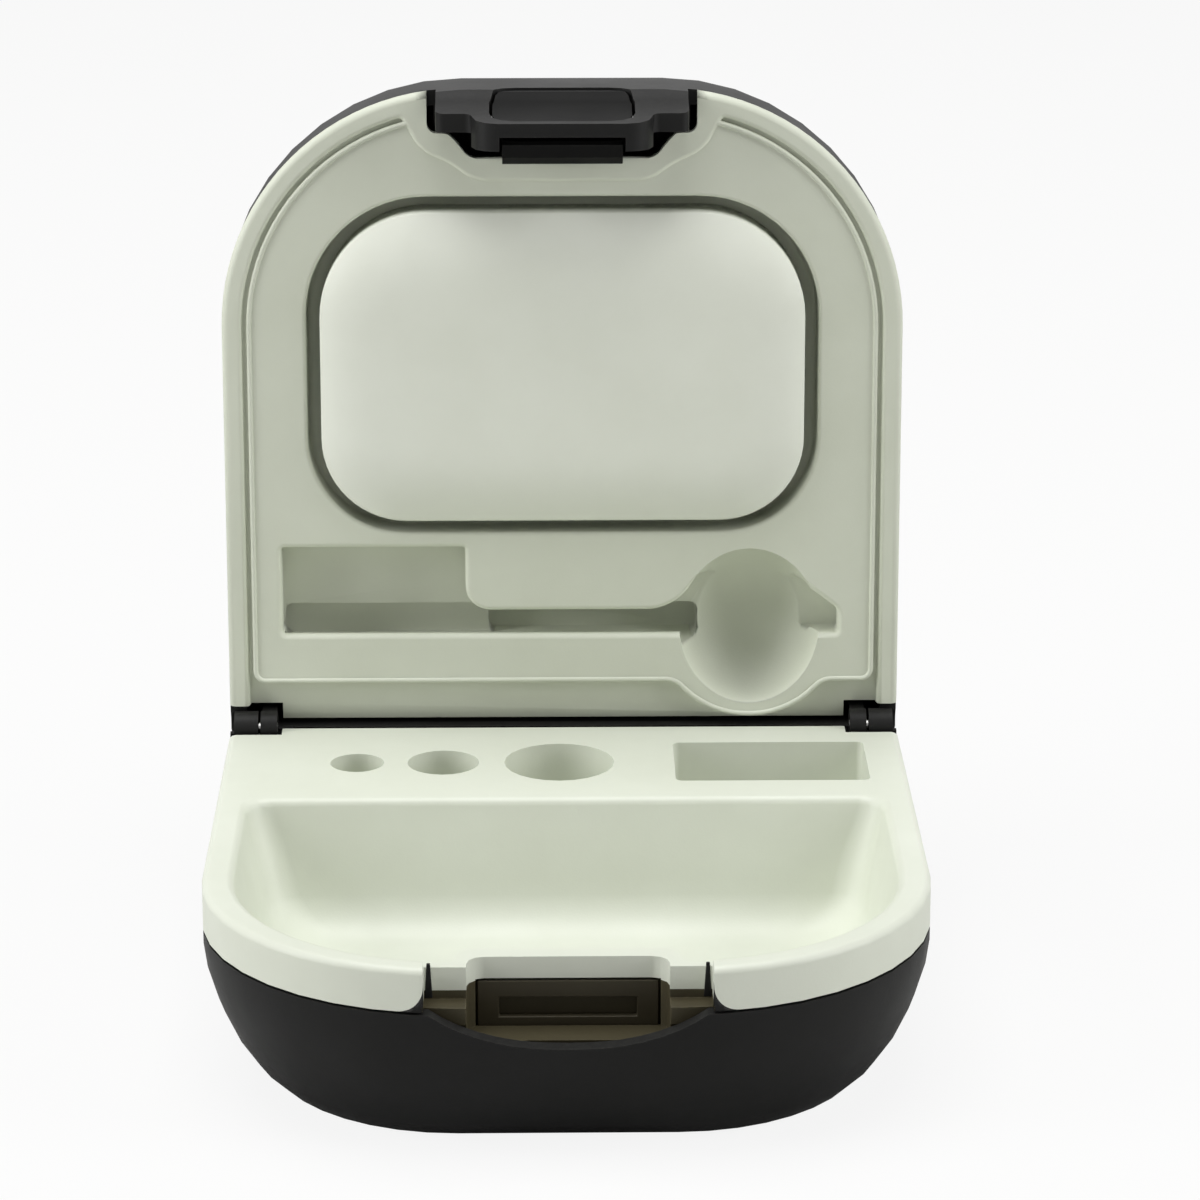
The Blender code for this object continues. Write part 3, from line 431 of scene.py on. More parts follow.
BLACK_SATIN = MouldedPlastic(
    "black_satin", colour(24, 24, 24), colour(19, 19, 18), colour(58, 57, 54), 0.5, specular=0.16, rub=0.35, dust=0.02
)
# The latch's black plastic, made darker and less reflective than the shell's: painted shade of its recessed button
SHADED_BLACK_LATCH = MouldedPlastic(
    "black_semi_gloss", colour(16, 16, 15), colour(12, 12, 12), colour(52, 51, 49), 0.5, specular=0.07, grain=6000.0,
    depth=0.006 * MM, rub=0.4, dust=0.0,
)
CREAM_BASE = MouldedPlastic(
    "cream_satin", colour(217, 221, 208), colour(211, 215, 201), colour(234, 236, 228), 0.45, specular=0.4, rub=0.25,
    dust=0.0,
)
CREAM_LID = MouldedPlastic(
    "cream_lid_satin", colour(215, 219, 204), colour(208, 212, 196), colour(233, 235, 226), 0.5, specular=0.35,
    rub=0.25, dust=0.0,
)
CREAM_PAD = MouldedPlastic(
    "cream_pad_smooth", colour(229, 232, 221), colour(223, 226, 214), colour(236, 238, 230), 0.4, specular=0.4,
    grain=6500.0, depth=0.005 * MM, rub=0.1, dust=0.0,
)
OLIVE_STRIKE = MouldedPlastic(
    "olive_satin", colour(62, 57, 42), colour(54, 49, 36), colour(84, 78, 60), 0.45, specular=0.25, rub=0.6, dust=0.03
)
# Dark olive for the liner's part in the latch recess: its darkness is painted shade of the recess, not the liner's own
# colour
RECESS_PAINTED_SHADE = MouldedPlastic(
    "dark_olive_satin", colour(68, 63, 45), colour(60, 55, 39), colour(136, 128, 98), 0.5, specular=0.25, rub=0.3,
    dust=0.0,
)
STEEL_WIRE = DrawnSteel("drawn_steel_wire", colour(196, 196, 194), 0.3, (0.05, 1.0, 1.0))
STEEL_STRIP = DrawnSteel("drawn_steel_strip", colour(178, 180, 184), 0.34, (1.0, 1.0, 0.08))


def lid_plane() -> Matrix:
    """The lid's own plane: x across, y from the hinge to the front, z out of the lid.

    Returns:
        The matrix that stands that plane up at rest.
    """
    return Matrix.Translation((0.0, AXIS_Y, RIM)) @ Matrix.Rotation(math.pi / 2 - LID_LEAN, 4, "X")


def base_plane() -> Matrix:
    """The base's own plane: x across, y from the front to the hinge, z up from the rim.

    Returns:
        The matrix that puts that plane at the rim.
    """
    return Matrix.Translation((0.0, AXIS_Y, RIM))


def copy_of(node: str) -> bmesh.types.BMesh:
    """Copies a node's mesh, closes its loose triangles and joins those that lie in one plane.

    Args:
        node: The node's name.

    Returns:
        The closed mesh.
    """
    bm = bmesh.new()
    bm.from_mesh(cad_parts[node].data)
    bmesh.ops.remove_doubles(bm, verts=bm.verts, dist=WELD)
    flatten(bm)
    return bm


def flatten(bm: bmesh.types.BMesh) -> None:
    """Joins neighbouring faces that lie in one plane.

    Args:
        bm: The mesh to simplify.
    """
    bmesh.ops.dissolve_limit(bm, angle_limit=FLAT_ANGLE, use_dissolve_boundaries=False, verts=bm.verts, edges=bm.edges)


def round_edges(bm: bmesh.types.BMesh, rounding: Rounding) -> None:
    """Rounds the sharp edges of a mesh.

    Args:
        bm: The mesh to change.
        rounding: How wide, and from which angle.
    """
    limit = math.radians(rounding.angle)
    sharp = [edge for edge in bm.edges if len(edge.link_faces) == 2 and edge.calc_face_angle(0.0) > limit]
    bmesh.ops.bevel(
        bm, geom=sharp, offset=rounding.width, offset_type="OFFSET", segments=rounding.segments, profile=0.5,
        affect="EDGES", clamp_overlap=True, material=-1,
    )


def solid(bm: bmesh.types.BMesh, name: str) -> bpy.types.Object:
    """Turns a bmesh into an object at the origin.

    Args:
        bm: The mesh, which is freed.
        name: The object's name.

    Returns:
        The new object.
    """
    mesh = bpy.data.meshes.new(name)
    bm.to_mesh(mesh)
    bm.free()
    piece = bpy.data.objects.new(name, mesh)
    bpy.context.scene.collection.objects.link(piece)
    return piece


def combined(first: bmesh.types.BMesh, second: bmesh.types.BMesh, operation: Operation) -> bmesh.types.BMesh:
    """Joins, cuts or intersects two closed meshes.

    Args:
        first: The mesh to change, which is freed.
        second: The mesh to change it with, which is freed.
        operation: What to do.

    Returns:
        The result.
    """
    target = solid(first, "target")
    tool = solid(second, "tool")
    modifier = target.modifiers.new("combine", "BOOLEAN")
    modifier.operation = operation.value
    modifier.object = tool
    modifier.solver = "EXACT"
    bpy.context.view_layer.update()
    evaluated = target.evaluated_get(bpy.context.evaluated_depsgraph_get())
    mesh = bpy.data.meshes.new_from_object(evaluated)
    result = bmesh.new()
    result.from_mesh(mesh)
    for leftover in (target, tool):
        bpy.data.objects.remove(leftover)
    bpy.data.meshes.remove(mesh)
    bmesh.ops.remove_doubles(result, verts=result.verts, dist=FINE_WELD)
    return result


@dataclass(frozen=True)
class Corner:
    """A corner of a flat outline, in millimetres.

    Attributes:
        x: Its place across.
        y: Its place along.
        cut: How far along its edges the rounding starts, 0 for a sharp one.
    """

    x: float
    y: float
    cut: float = 0.0


def flat_outline(corners: Sequence[Corner], segments: int = 8) -> bmesh.types.BMesh:
    """Makes a flat face from its corners, in millimetres, and rounds them.

    Args:
        corners: The corners, counter-clockwise.
        segments: How many edges round a corner.

    Returns:
        The mesh with the one face, in metres.
    """
    bm = bmesh.new()
    verts = [bm.verts.new((corner.x * MM, corner.y * MM, 0.0)) for corner in corners]
    bm.faces.new(verts)
    for vert, corner in zip(verts, corners):
        if corner.cut:
            bmesh.ops.bevel(
                bm, geom=[vert], offset=corner.cut * MM, offset_type="OFFSET", segments=segments, profile=0.5,
                affect="VERTICES", clamp_overlap=False, material=-1,
            )
    return bm


def raise_faces(bm: bmesh.types.BMesh, faces: Iterable[bmesh.types.BMFace], lift: Vector) -> list[bmesh.types.BMFace]:
    """Extrudes faces and closes the mesh behind them.

    Args:
        bm: The mesh.
        faces: The faces to raise.
        lift: How far and where to.

    Returns:
        The raised faces.
    """
    raised = bmesh.ops.extrude_face_region(bm, geom=list(faces), use_keep_orig=True)
    verts = [item for item in raised["geom"] if isinstance(item, bmesh.types.BMVert)]
    bmesh.ops.translate(bm, vec=lift, verts=verts)
    bmesh.ops.recalc_face_normals(bm, faces=bm.faces)
    return [item for item in raised["geom"] if isinstance(item, bmesh.types.BMFace)]


def plate(corners: Sequence[Corner], low: float, high: float, segments: int = 8) -> bmesh.types.BMesh:
    """Makes a straight-sided plate from its outline.

    Args:
        corners: The outline's corners, in millimetres.
        low: Its lower level, in millimetres.
        high: Its upper level, in millimetres.
        segments: How many edges round a corner.

    Returns:
        The closed mesh, in its half's own plane.
    """
    bm = flat_outline(corners, segments)
    bmesh.ops.translate(bm, vec=(0.0, 0.0, low * MM), verts=bm.verts)
    raise_faces(bm, bm.faces, Vector((0.0, 0.0, (high - low) * MM)))
    return bm


def stepped(
    corners: Sequence[Corner], start: float, profile: Sequence[tuple[float, float]], segments: int = 8
) -> bmesh.types.BMesh:
    """Makes a plate whose side follows a profile, as a pillow or as the tool that cuts a soft-edged hollow.

    Args:
        corners: The corners of its widest outline, in millimetres.
        start: The level of that outline, in millimetres.
        profile: The inset and the level of each step after it, in millimetres.
        segments: How many edges round a corner.

    Returns:
        The closed mesh, in its half's own plane.
    """
    bm = flat_outline(corners, segments)
    bmesh.ops.translate(bm, vec=(0.0, 0.0, start * MM), verts=bm.verts)
    top = raise_faces(bm, bm.faces, Vector((0.0, 0.0, (profile[0][1] - start) * MM)))
    rises = 1.0 if profile[0][1] > start else -1.0
    for before, after in zip(profile, profile[1:]):
        bmesh.ops.inset_region(
            bm, faces=top, thickness=(after[0] - before[0]) * MM, depth=rises * (after[1] - before[1]) * MM,
            use_even_offset=True,
        )
    bmesh.ops.recalc_face_normals(bm, faces=bm.faces)
    return bm


def quarter(
    inset: float, level: float, reach: float, rise: float, steps: int = 5, hollow: bool = False
) -> list[tuple[float, float]]:
    """The points of a quarter round, as the profile of a plate.

    Args:
        inset: The inset where it starts, in millimetres.
        level: The level where it starts, in millimetres.
        reach: How far in it goes.
        rise: How far it changes the level.
        steps: How many edges it has.
        hollow: Whether it starts flat and ends steep, as the mouth of a hollow does.

    Returns:
        Its points without the first.
    """
    points = []
    for step in range(1, steps + 1):
        angle = math.pi / 2 * step / steps
        across, along = 1 - math.cos(angle), math.sin(angle)
        if hollow:
            across, along = math.sin(angle), 1 - math.cos(angle)
        points.append((inset + reach * across, level + rise * along))
    return points


def mouth(level: float, soft: float) -> list[tuple[float, float]]:
    """The start of the profile that cuts a hollow: its soft mouth.

    Args:
        level: The level of the face round it, in millimetres.
        soft: The radius of its edge, in millimetres.

    Returns:
        Its points with the first.
    """
    return [(0.0, level), *quarter(0.0, level, soft, -soft, hollow=True)]


def rectangle(left: float, right: float, near: float, far: float, cut: float = 0.0) -> tuple[Corner, ...]:
    """The corners of a rectangle.

    Args:
        left: Its lowest place across.
        right: Its highest place across.
        near: Its lowest place along.
        far: Its highest place along.
        cut: How far along its edges the roundings start.

    Returns:
        The four corners, counter-clockwise.
    """
    return tuple(Corner(x, y, cut) for x, y in ((left, near), (right, near), (right, far), (left, far)))


def finish(
    piece: bpy.types.Object, body: Body, material: bpy.types.Material, nodes: Sequence[str] = ()
) -> None:
    """Gives a finished piece its material, its smooth shading and its place in the case.

    Args:
        piece: The piece, in its place.
        body: The body it rides on.
        material: Its finish.
        nodes: The nodes that it stands for.
    """
    piece.data.materials.clear()
    piece.data.materials.append(material)
    piece.data.shade_smooth()
    weighted = piece.modifiers.new("even_normals", "WEIGHTED_NORMAL")
    weighted.weight = 100
    weighted.keep_sharp = True
    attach(piece, body.value)
    if nodes:
        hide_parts(*nodes)
    log.info("%s: %d faces on %s", piece.name, len(piece.data.polygons), body.value)


def dress_node(node: str, material: bpy.types.Material) -> None:
    """Gives a node that keeps its own shape a finish.

    Args:
        node: The node's name.
        material: Its finish.
    """
    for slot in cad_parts[node].material_slots:
        slot.material = material
    log.info("%s keeps its shape", node)


@dataclass
class BaseHalf:
    """The lower half: a black shell, the pale liner in it and the strike of the latch, in millimetres."""

    shell_rounding: Rounding = Rounding(0.3 * MM)
    liner_rounding: Rounding = Rounding(0.35 * MM)
    strike_rounding: Rounding = Rounding(0.12 * MM)
    slot_half_width: float = 15.15
    band: float = 5.0
    band_corner: float = 2.8
    corner_steps: int = 12
    corner_front: float = 79.0
    corner_rear: float = 74.8
    corner_overlap: float = 0.5
    recess: tuple[Corner, ...] = (
        Corner(-15.3, -78.0), Corner(15.3, -78.0), Corner(15.3, -71.35), Corner(11.3, -71.35), Corner(11.3, -67.45),
        Corner(-11.3, -67.45), Corner(-11.3, -71.35), Corner(-15.3, -71.35),
    )
    recess_top: float = -4.35
    recess_bottom: float = -13.0
    rib: tuple[Corner, ...] = rectangle(14.25, 15.1, -71.98, -71.6)
    rib_levels: tuple[float, float] = (-5.2, -1.35)
    rib_taper: float = 0.45
    rib_rounding: Rounding = Rounding(0.08 * MM, segments=2)

    def corner_block(self, side: Side) -> bmesh.types.BMesh:
        """The part of the band below its rounded corner at one end of the slot.

        Args:
            side: Which end.

        Returns:
            The closed block, in place.
        """
        bm = bmesh.new()
        radius = self.band_corner * MM
        x = side.value * self.slot_half_width * MM
        centre = Vector((x + side.value * radius, -self.corner_front * MM, radius - self.band * MM))
        start = bm.verts.new(centre - Vector((0.0, 0.0, radius)))
        bmesh.ops.spin(
            bm, geom=[start], cent=centre, axis=(0.0, side.value, 0.0), dvec=(0.0, 0.0, 0.0), angle=math.pi / 2,
            steps=self.corner_steps, use_merge=False, use_normal_flip=False, use_duplicate=False,
        )
        bm.verts.ensure_lookup_table()
        ends = [vert for vert in bm.verts if len(vert.link_edges) == 1]
        overlap = self.corner_overlap * MM
        past = self.band * MM + overlap
        ends.sort(key=lambda vert: vert.co.z)
        low = bm.verts.new((ends[0].co.x, centre.y, -past))
        corner = bm.verts.new((x - side.value * overlap, centre.y, -past))
        high = bm.verts.new((x - side.value * overlap, centre.y, ends[1].co.z))
        for first, second in ((ends[0], low), (low, corner), (corner, high), (high, ends[1])):
            bm.edges.new((first, second))
        bmesh.ops.contextual_create(bm, geom=bm.edges)
        raise_faces(bm, bm.faces, Vector((0.0, (self.corner_front - self.corner_rear) * MM, 0.0)))
        bmesh.ops.transform(bm, matrix=base_plane(), verts=bm.verts)
        return bm

    def recess_block(self) -> bmesh.types.BMesh:
        """The part of the liner, below its lip at the latch, that is coloured dark olive as painted shade of the
        recess.

        Returns:
            The closed block, in place.
        """
        bm = plate(self.recess, self.recess_bottom, self.recess_top)
        bmesh.ops.transform(bm, matrix=base_plane(), verts=bm.verts)
        return bm

    def end_rib(self, side: Side) -> bmesh.types.BMesh:
        """The black rib of the shell that stands at one end of the slot, narrower towards its top.

        Args:
            side: Which end.

        Returns:
            The closed rib, in place.
        """
        bm = plate(self.rib, *self.rib_levels)
        middle = sum(corner.x for corner in self.rib) / len(self.rib) * MM
        tip = [vert for vert in bm.verts if vert.co.z > self.rib_levels[0] * MM + WELD]
        bmesh.ops.translate(bm, vec=(-middle, 0.0, 0.0), verts=tip)
        bmesh.ops.scale(bm, vec=(self.rib_taper, 1.0, 1.0), verts=tip)
        bmesh.ops.translate(bm, vec=(middle, 0.0, 0.0), verts=tip)
        round_edges(bm, self.rib_rounding)
        if side is Side.LEFT:
            bmesh.ops.scale(bm, vec=(-1.0, 1.0, 1.0), verts=bm.verts)
            bmesh.ops.recalc_face_normals(bm, faces=bm.faces)
        bmesh.ops.transform(bm, matrix=base_plane(), verts=bm.verts)
        return bm

    def build(self) -> None:
        """Builds and dresses every piece of the base."""
        shell = copy_of("base_shell")
        round_edges(shell, self.shell_rounding)
        finish(solid(shell, "base_shell_moulding"), Body.BASE, BLACK_SATIN.build(), ["base_shell"])
        liner = copy_of("base_tray")
        for side in Side:
            infill = combined(copy_of("base_tray"), self.corner_block(side), Operation.SHARE)
            piece = solid(infill, f"base_shell_corner_{side.name.lower()}")
            finish(piece, Body.BASE, BLACK_SATIN.build())
            liner = combined(liner, self.corner_block(side), Operation.CUT)
            rib = solid(self.end_rib(side), f"base_shell_rib_{side.name.lower()}")
            finish(rib, Body.BASE, BLACK_SATIN.build())
        # The liner's part in the latch recess is split off and coloured dark olive as painted shade of the recess
        shaded_part = combined(copy_of("base_tray"), self.recess_block(), Operation.SHARE)
        flatten(shaded_part)
        round_edges(shaded_part, self.strike_rounding)
        finish(solid(shaded_part, "latch_recess_painted_shade"), Body.BASE, RECESS_PAINTED_SHADE.build())
        liner = combined(liner, self.recess_block(), Operation.CUT)
        flatten(liner)
        round_edges(liner, self.liner_rounding)
        finish(solid(liner, "base_liner"), Body.BASE, CREAM_BASE.build(), ["base_tray"])
        strike = copy_of("catch_plate")
        round_edges(strike, self.strike_rounding)
        finish(solid(strike, "latch_strike"), Body.BASE, OLIVE_STRIKE.build(), ["catch_plate"])
        for side in Side:
            dress_node(f"hinge_pin_{side.name.lower()}", STEEL_WIRE.build())


def case_corners(inset: float, rear: float, rear_corner: float) -> tuple[Corner, ...]:
    """The corners of the case's plan, drawn in evenly at the sides and the front.

    Args:
        inset: How far it is drawn in.
        rear: Where it ends at the hinge.
        rear_corner: The cut of its rear corners.

    Returns:
        The four corners, counter-clockwise.
    """
    half, front, corner = CASE_HALF_WIDTH - inset, CASE_FRONT - inset, CASE_CORNER - inset
    return (
        Corner(-half, rear, rear_corner), Corner(half, rear, rear_corner),
        Corner(half, front, corner), Corner(-half, front, corner),
    )


def front_arc(inset: float, until: float, steps: int = 20) -> tuple[Corner, ...]:
    """The case's right front corner as points, as far as the edge of the latch's bay.

    Args:
        inset: How far it is drawn in.
        until: The angle at which it ends, in degrees.
        steps: How many edges it has.

    Returns:
        Its points, from the side to the front.
    """
    radius = CASE_CORNER - inset
    across, along = CASE_HALF_WIDTH - CASE_CORNER, CASE_FRONT - CASE_CORNER
    points = []
    for step in range(steps + 1):
        angle = math.radians(until) * step / steps
        points.append(Corner(across + radius * math.cos(angle), along + radius * math.sin(angle)))
    return tuple(points)


def both_sides(right: Sequence[Corner]) -> tuple[Corner, ...]:
    """Completes an outline that is the same on both sides.

    Args:
        right: Its corners on the right, from the hinge towards the front.

    Returns:
        All its corners, counter-clockwise.
    """
    return (*right, *(Corner(-corner.x, corner.y, corner.cut) for corner in reversed(right)))


@dataclass
class LidLiner:
    """The pale liner of the lid in its own plane, in millimetres: a round lip, a sunk deck and a beaded panel."""

    overlap: float = 0.5
    rim_plan: tuple[float, float, float] = (0.0, 0.1, 1.2)
    skirt_plan: tuple[float, float, float] = (2.1, 0.5, 1.0)
    under_plan: tuple[float, float, float] = (3.6, 1.6, 1.0)
    lip_top: float = -0.15
    lip_round: float = 0.85
    band: float = -1.3
    skirt: float = -3.5
    deck: float = -1.05
    deck_back: float = -2.65
    deck_soft: float = 0.6
    fall_size: tuple[float, float, float] = (75.0, 9.0, 4.0)
    fall_place: tuple[float, float, float] = (0.0, 1.45, 0.15)
    fall_angle: float = 8.0
    panel: float = -0.5
    panel_root: float = 0.4
    bead_width: float = 0.6
    bead_height: float = 0.3
    bead_steps: int = 4
    bowl_edge: tuple[Corner, ...] = (
        Corner(13.2, 5.3, 0.9), Corner(15.6, 3.0, 1.2), Corner(18.7, 1.35, 1.6), Corner(22.2, 0.85, 1.7),
        Corner(25.7, 1.35, 1.6), Corner(28.8, 3.0, 1.2), Corner(31.2, 5.3, 0.9),
    )
    panel_side: tuple[Corner, ...] = (
        Corner(37.1, 5.3, 1.5), *front_arc(2.9, 74.0), Corner(17.1, 73.25, 0.9), Corner(15.6, 70.7, 1.3),
        Corner(12.3, 69.2, 1.1), Corner(9.7, 67.1, 1.4),
    )
    deck_side: tuple[Corner, ...] = (
        Corner(38.2, -3.0), *front_arc(1.8, 72.0), Corner(18.4, 74.05, 0.8), Corner(16.2, 70.0, 1.3),
        Corner(12.7, 68.4, 1.1), Corner(10.0, 66.4, 1.4),
    )
    notch: tuple[Corner, ...] = both_sides((
        Corner(10.8, 68.6, 1.0), Corner(12.5, 70.8, 0.9), Corner(13.3, 71.55, 0.5), Corner(15.7, 71.6, 1.1),
        Corner(15.7, 80.0),
    ))
    notch_levels: tuple[float, float] = (-6.0, 4.0)
    bed: tuple[Corner, ...] = (
        Corner(-30.6, 23.25, 12.1), Corner(30.6, 23.25, 12.1), Corner(30.6, 64.55, 14.6), Corner(-30.6, 64.55, 14.6)
    )
    bed_mouth: float = 0.5
    bed_depth: float = -5.4
    bed_foot: float = 0.7
    recess: tuple[Corner, ...] = (
        Corner(-34.2, 10.6, 1.2), Corner(33.5, 10.5, 1.1), Corner(33.5, 14.4, 0.9), Corner(28.9, 17.9),
        Corner(15.7, 18.6), Corner(12.4, 14.8, 2.3), Corner(-11.0, 14.8, 2.3), Corner(-11.0, 22.6, 1.0),
        Corner(-34.2, 22.6, 1.1),
    )
    recess_mouth: float = 0.65
    recess_depth: float = -5.0
    channel: tuple[Corner, ...] = rectangle(-9.0, 16.0, 9.9, 14.05, 0.8)
    undercut: tuple[Corner, ...] = rectangle(-33.3, -8.0, 10.1, 14.0, 0.8)
    undercut_levels: tuple[float, float] = (-6.6, -1.7)
    channel_depth: float = -9.4
    recess_cups: tuple[tuple[float, float, float, float], ...] = ((-35.4, -9.8, 9.4, 23.8), (-12.0, 35.1, 9.2, 19.6))
    bowl_place: tuple[float, float] = (22.2, 12.1)
    bowl_half: tuple[float, float, float] = (8.4, 9.6, 7.0)
    bowl_top: float = 1.5
    wall: float = 1.1
    recess_wall: float = 2.75
    hinge_notch: tuple[float, float, float] = (33.7, 42.0, 2.5)
    hinge_notch_levels: tuple[float, float] = (-9.0, 4.0)

    def body(self) -> bmesh.types.BMesh:
        """The rim with its round lip, and the skirt that goes into the shell.

        Returns:
            The closed mesh.
        """
        lower = self.lip_top - self.lip_round
        rim = [(0.0, lower)] + quarter(0.0, lower, self.lip_round, self.lip_round)
        body = stepped(case_corners(*self.rim_plan), self.band, rim, FINE_ARC)
        skirt = plate(case_corners(*self.skirt_plan), self.skirt, self.band + self.overlap, FINE_ARC)
        body = combined(body, skirt, Operation.JOIN)
        under = plate(case_corners(*self.under_plan), self.skirt - CLEAR, self.deck_back, FINE_ARC)
        return combined(body, under, Operation.CUT)

    def sink_deck(self, body: bmesh.types.BMesh) -> bmesh.types.BMesh:
        """Sinks the deck inside the lip, and lets it fall away towards the hinge.

        Args:
            body: The liner so far.

        Returns:
            The liner with its deck.
        """
        profile = [*mouth(self.lip_top, self.deck_soft), (self.deck_soft, self.deck)]
        body = combined(body, stepped(both_sides(self.deck_side), CLEAR, profile), Operation.CUT)
        fall = bmesh.new()
        bmesh.ops.create_cube(fall, size=1.0)
        bmesh.ops.scale(fall, vec=Vector(self.fall_size) * MM, verts=fall.verts)
        bmesh.ops.rotate(fall, matrix=Matrix.Rotation(math.radians(self.fall_angle), 3, "X"), verts=fall.verts)
        bmesh.ops.translate(fall, vec=Vector(self.fall_place) * MM, verts=fall.verts)
        return combined(body, fall, Operation.CUT)

    def beaded_panel(self) -> bmesh.types.BMesh:
        """The panel with the thin bead that runs all round it.

        Returns:
            The closed mesh.
        """
        soft = 0.5 * self.bead_width
        brow = self.panel + self.bead_height - soft
        bead = [
            (0.0, brow), *quarter(0.0, brow, soft, soft, self.bead_steps),
            *quarter(soft, brow + soft, soft, -soft, self.bead_steps, hollow=True),
        ]
        return stepped((*self.bowl_edge, *both_sides(self.panel_side)), self.deck_back + self.panel_root, bead)

    def cups(self) -> list[bmesh.types.BMesh]:
        """The walls behind the bed, the recess, its channel and the bowl.

        Returns:
            The closed meshes, which are joined to the liner.
        """
        inside = self.deck_back + self.overlap
        bed = plate(grown(self.bed, self.wall), self.bed_depth - self.wall, inside, SOFT_ARC)
        recess = [
            plate(rectangle(*sides), self.recess_depth - self.recess_wall, inside) for sides in self.recess_cups
        ]
        channel = plate(grown(self.channel, self.wall), self.channel_depth - self.wall, inside)
        return [bed, *recess, channel, self.bowl(self.wall, inside)]

    def bowl(self, wall: float, level: float) -> bmesh.types.BMesh:
        """The dish that a fingertip fits, or the outside of its wall.

        Args:
            wall: How much wider it is than the dish.
            level: The level that it is cut off at.

        Returns:
            The closed mesh.
        """
        bm = bmesh.new()
        bmesh.ops.create_uvsphere(bm, u_segments=56, v_segments=28, radius=1.0)
        bmesh.ops.scale(bm, vec=Vector([(half + wall) * MM for half in self.bowl_half]), verts=bm.verts)
        centre = Vector((self.bowl_place[0], self.bowl_place[1], self.panel)) * MM
        bmesh.ops.translate(bm, vec=centre, verts=bm.verts)
        cut = bmesh.ops.bisect_plane(
            bm, geom=bm.verts[:] + bm.edges[:] + bm.faces[:], plane_co=(0.0, 0.0, level * MM), plane_no=(0.0, 0.0, 1.0),
            clear_outer=True,
        )
        bmesh.ops.contextual_create(bm, geom=[item for item in cut["geom_cut"] if isinstance(item, bmesh.types.BMEdge)])
        bmesh.ops.recalc_face_normals(bm, faces=bm.faces)
        return bm

    def hollows(self) -> list[bmesh.types.BMesh]:
        """The tools that cut the bed, the recess with its channel and the bowl, and the latch's notch.

        Returns:
            The closed meshes.
        """
        foot = self.bed_depth + self.bed_foot
        floor = [(self.bed_mouth, foot), *quarter(self.bed_mouth, foot, self.bed_foot, -self.bed_foot)]
        bed = stepped(self.bed, CLEAR, mouth(self.panel, self.bed_mouth) + floor, SOFT_ARC)
        profile = [*mouth(self.panel, self.recess_mouth), (self.recess_mouth, self.recess_depth)]
        recess = stepped(self.recess, CLEAR, profile)
        channel = plate(self.channel, self.channel_depth, self.undercut_levels[1])
        undercut = plate(self.undercut, *self.undercut_levels)
        for tool in (self.bowl(0.0, self.bowl_top), channel, undercut):
            recess = combined(recess, tool, Operation.JOIN)
        return [bed, recess, plate(self.notch, *self.notch_levels)]

    def build(self) -> bpy.types.Object:
        """Builds the whole liner and stands it up in the lid.

        Returns:
            The liner.
        """
        liner = self.sink_deck(self.body())
        liner = combined(liner, self.beaded_panel(), Operation.JOIN)
        for cup in self.cups():
            liner = combined(liner, cup, Operation.JOIN)
        for hollow in self.hollows():
            liner = combined(liner, hollow, Operation.CUT)
        near, far, along = self.hinge_notch
        for side in Side:
            low, high = sorted((side.value * near, side.value * far))
            tool = plate(rectangle(low, high, -CLEAR, along), *self.hinge_notch_levels)
            liner = combined(liner, tool, Operation.CUT)
        bmesh.ops.transform(liner, matrix=lid_plane(), verts=liner.verts)
        return solid(liner, "lid_liner")


def grown(outline: Sequence[Corner], wall: float) -> list[Corner]:
    """Moves the corners of an outline away from its middle.

    Args:
        outline: The corners.
        wall: How far each one moves on each axis.

    Returns:
        The moved corners.
    """
    middle_x = sum(corner.x for corner in outline) / len(outline)
    middle_y = sum(corner.y for corner in outline) / len(outline)
    moved = []
    for corner in outline:
        across = math.copysign(wall, corner.x - middle_x)
        along = math.copysign(wall, corner.y - middle_y)
        moved.append(Corner(corner.x + across, corner.y + along, corner.cut))
    return moved


@dataclass
class LidHalf:
    """The upper half, stood open: a black shell, the pale liner in it and the raised pad, in millimetres."""

    shell_rounding: Rounding = Rounding(0.3 * MM)
    pad_corners: tuple[Corner, ...] = (
        Corner(-28.45, 25.4, 10.0), Corner(28.45, 25.4, 10.0), Corner(28.45, 62.4, 12.5), Corner(-28.45, 62.4, 12.5)
    )
    pad_bed: float = -5.2
    pad_side: float = 0.2
    pad_rise: float = 2.4
    pad_reach: float = 9.4
    pad_fullness: float = 2.7
    pad_steps: int = 16
    pad_spacing: float = 1.4

    def pad(self) -> bmesh.types.BMesh:
        """The pillow-shaped pad: upright sides, a soft wide edge and a low crown.

        Returns:
            The closed mesh, in place.
        """
        profile = []
        for step in range(self.pad_steps + 1):
            share = (step / self.pad_steps) ** self.pad_spacing
            rise = self.pad_rise * (1 - (1 - share) ** self.pad_fullness)
            profile.append((self.pad_reach * share, self.pad_side + rise))
        bm = stepped(self.pad_corners, self.pad_bed, profile, SOFT_ARC)
        bmesh.ops.transform(bm, matrix=lid_plane(), verts=bm.verts)
        return bm

    def build(self) -> None:
        """Builds and dresses every piece of the lid."""
        shell = copy_of("lid_shell")
        round_edges(shell, self.shell_rounding)
        finish(solid(shell, "lid_shell_moulding"), Body.LID, BLACK_SATIN.build(), ["lid_shell"])
        finish(LidLiner().build(), Body.LID, CREAM_LID.build(), ["lid_tray"])
        finish(solid(self.pad(), "lid_raised_pad"), Body.LID, CREAM_PAD.build(), ["lid_pad"])


@dataclass
class Latch:
    """The rocker in the lid's apron: its lever with the button and the tongue, its pin and its spring."""

    lever_rounding: Rounding = Rounding(0.25 * MM)

    def build(self) -> None:
        """Builds and dresses every piece of the latch."""
        lever = copy_of("latch_lever")
        round_edges(lever, self.lever_rounding)
        # The rocker's darker black is painted shade of the recessed button
        finish(solid(lever, "latch_rocker"), Body.LATCH, SHADED_BLACK_LATCH.build(), ["latch_lever"])
        dress_node("latch_pin", STEEL_WIRE.build())
        dress_node("latch_spring", STEEL_STRIP.build())


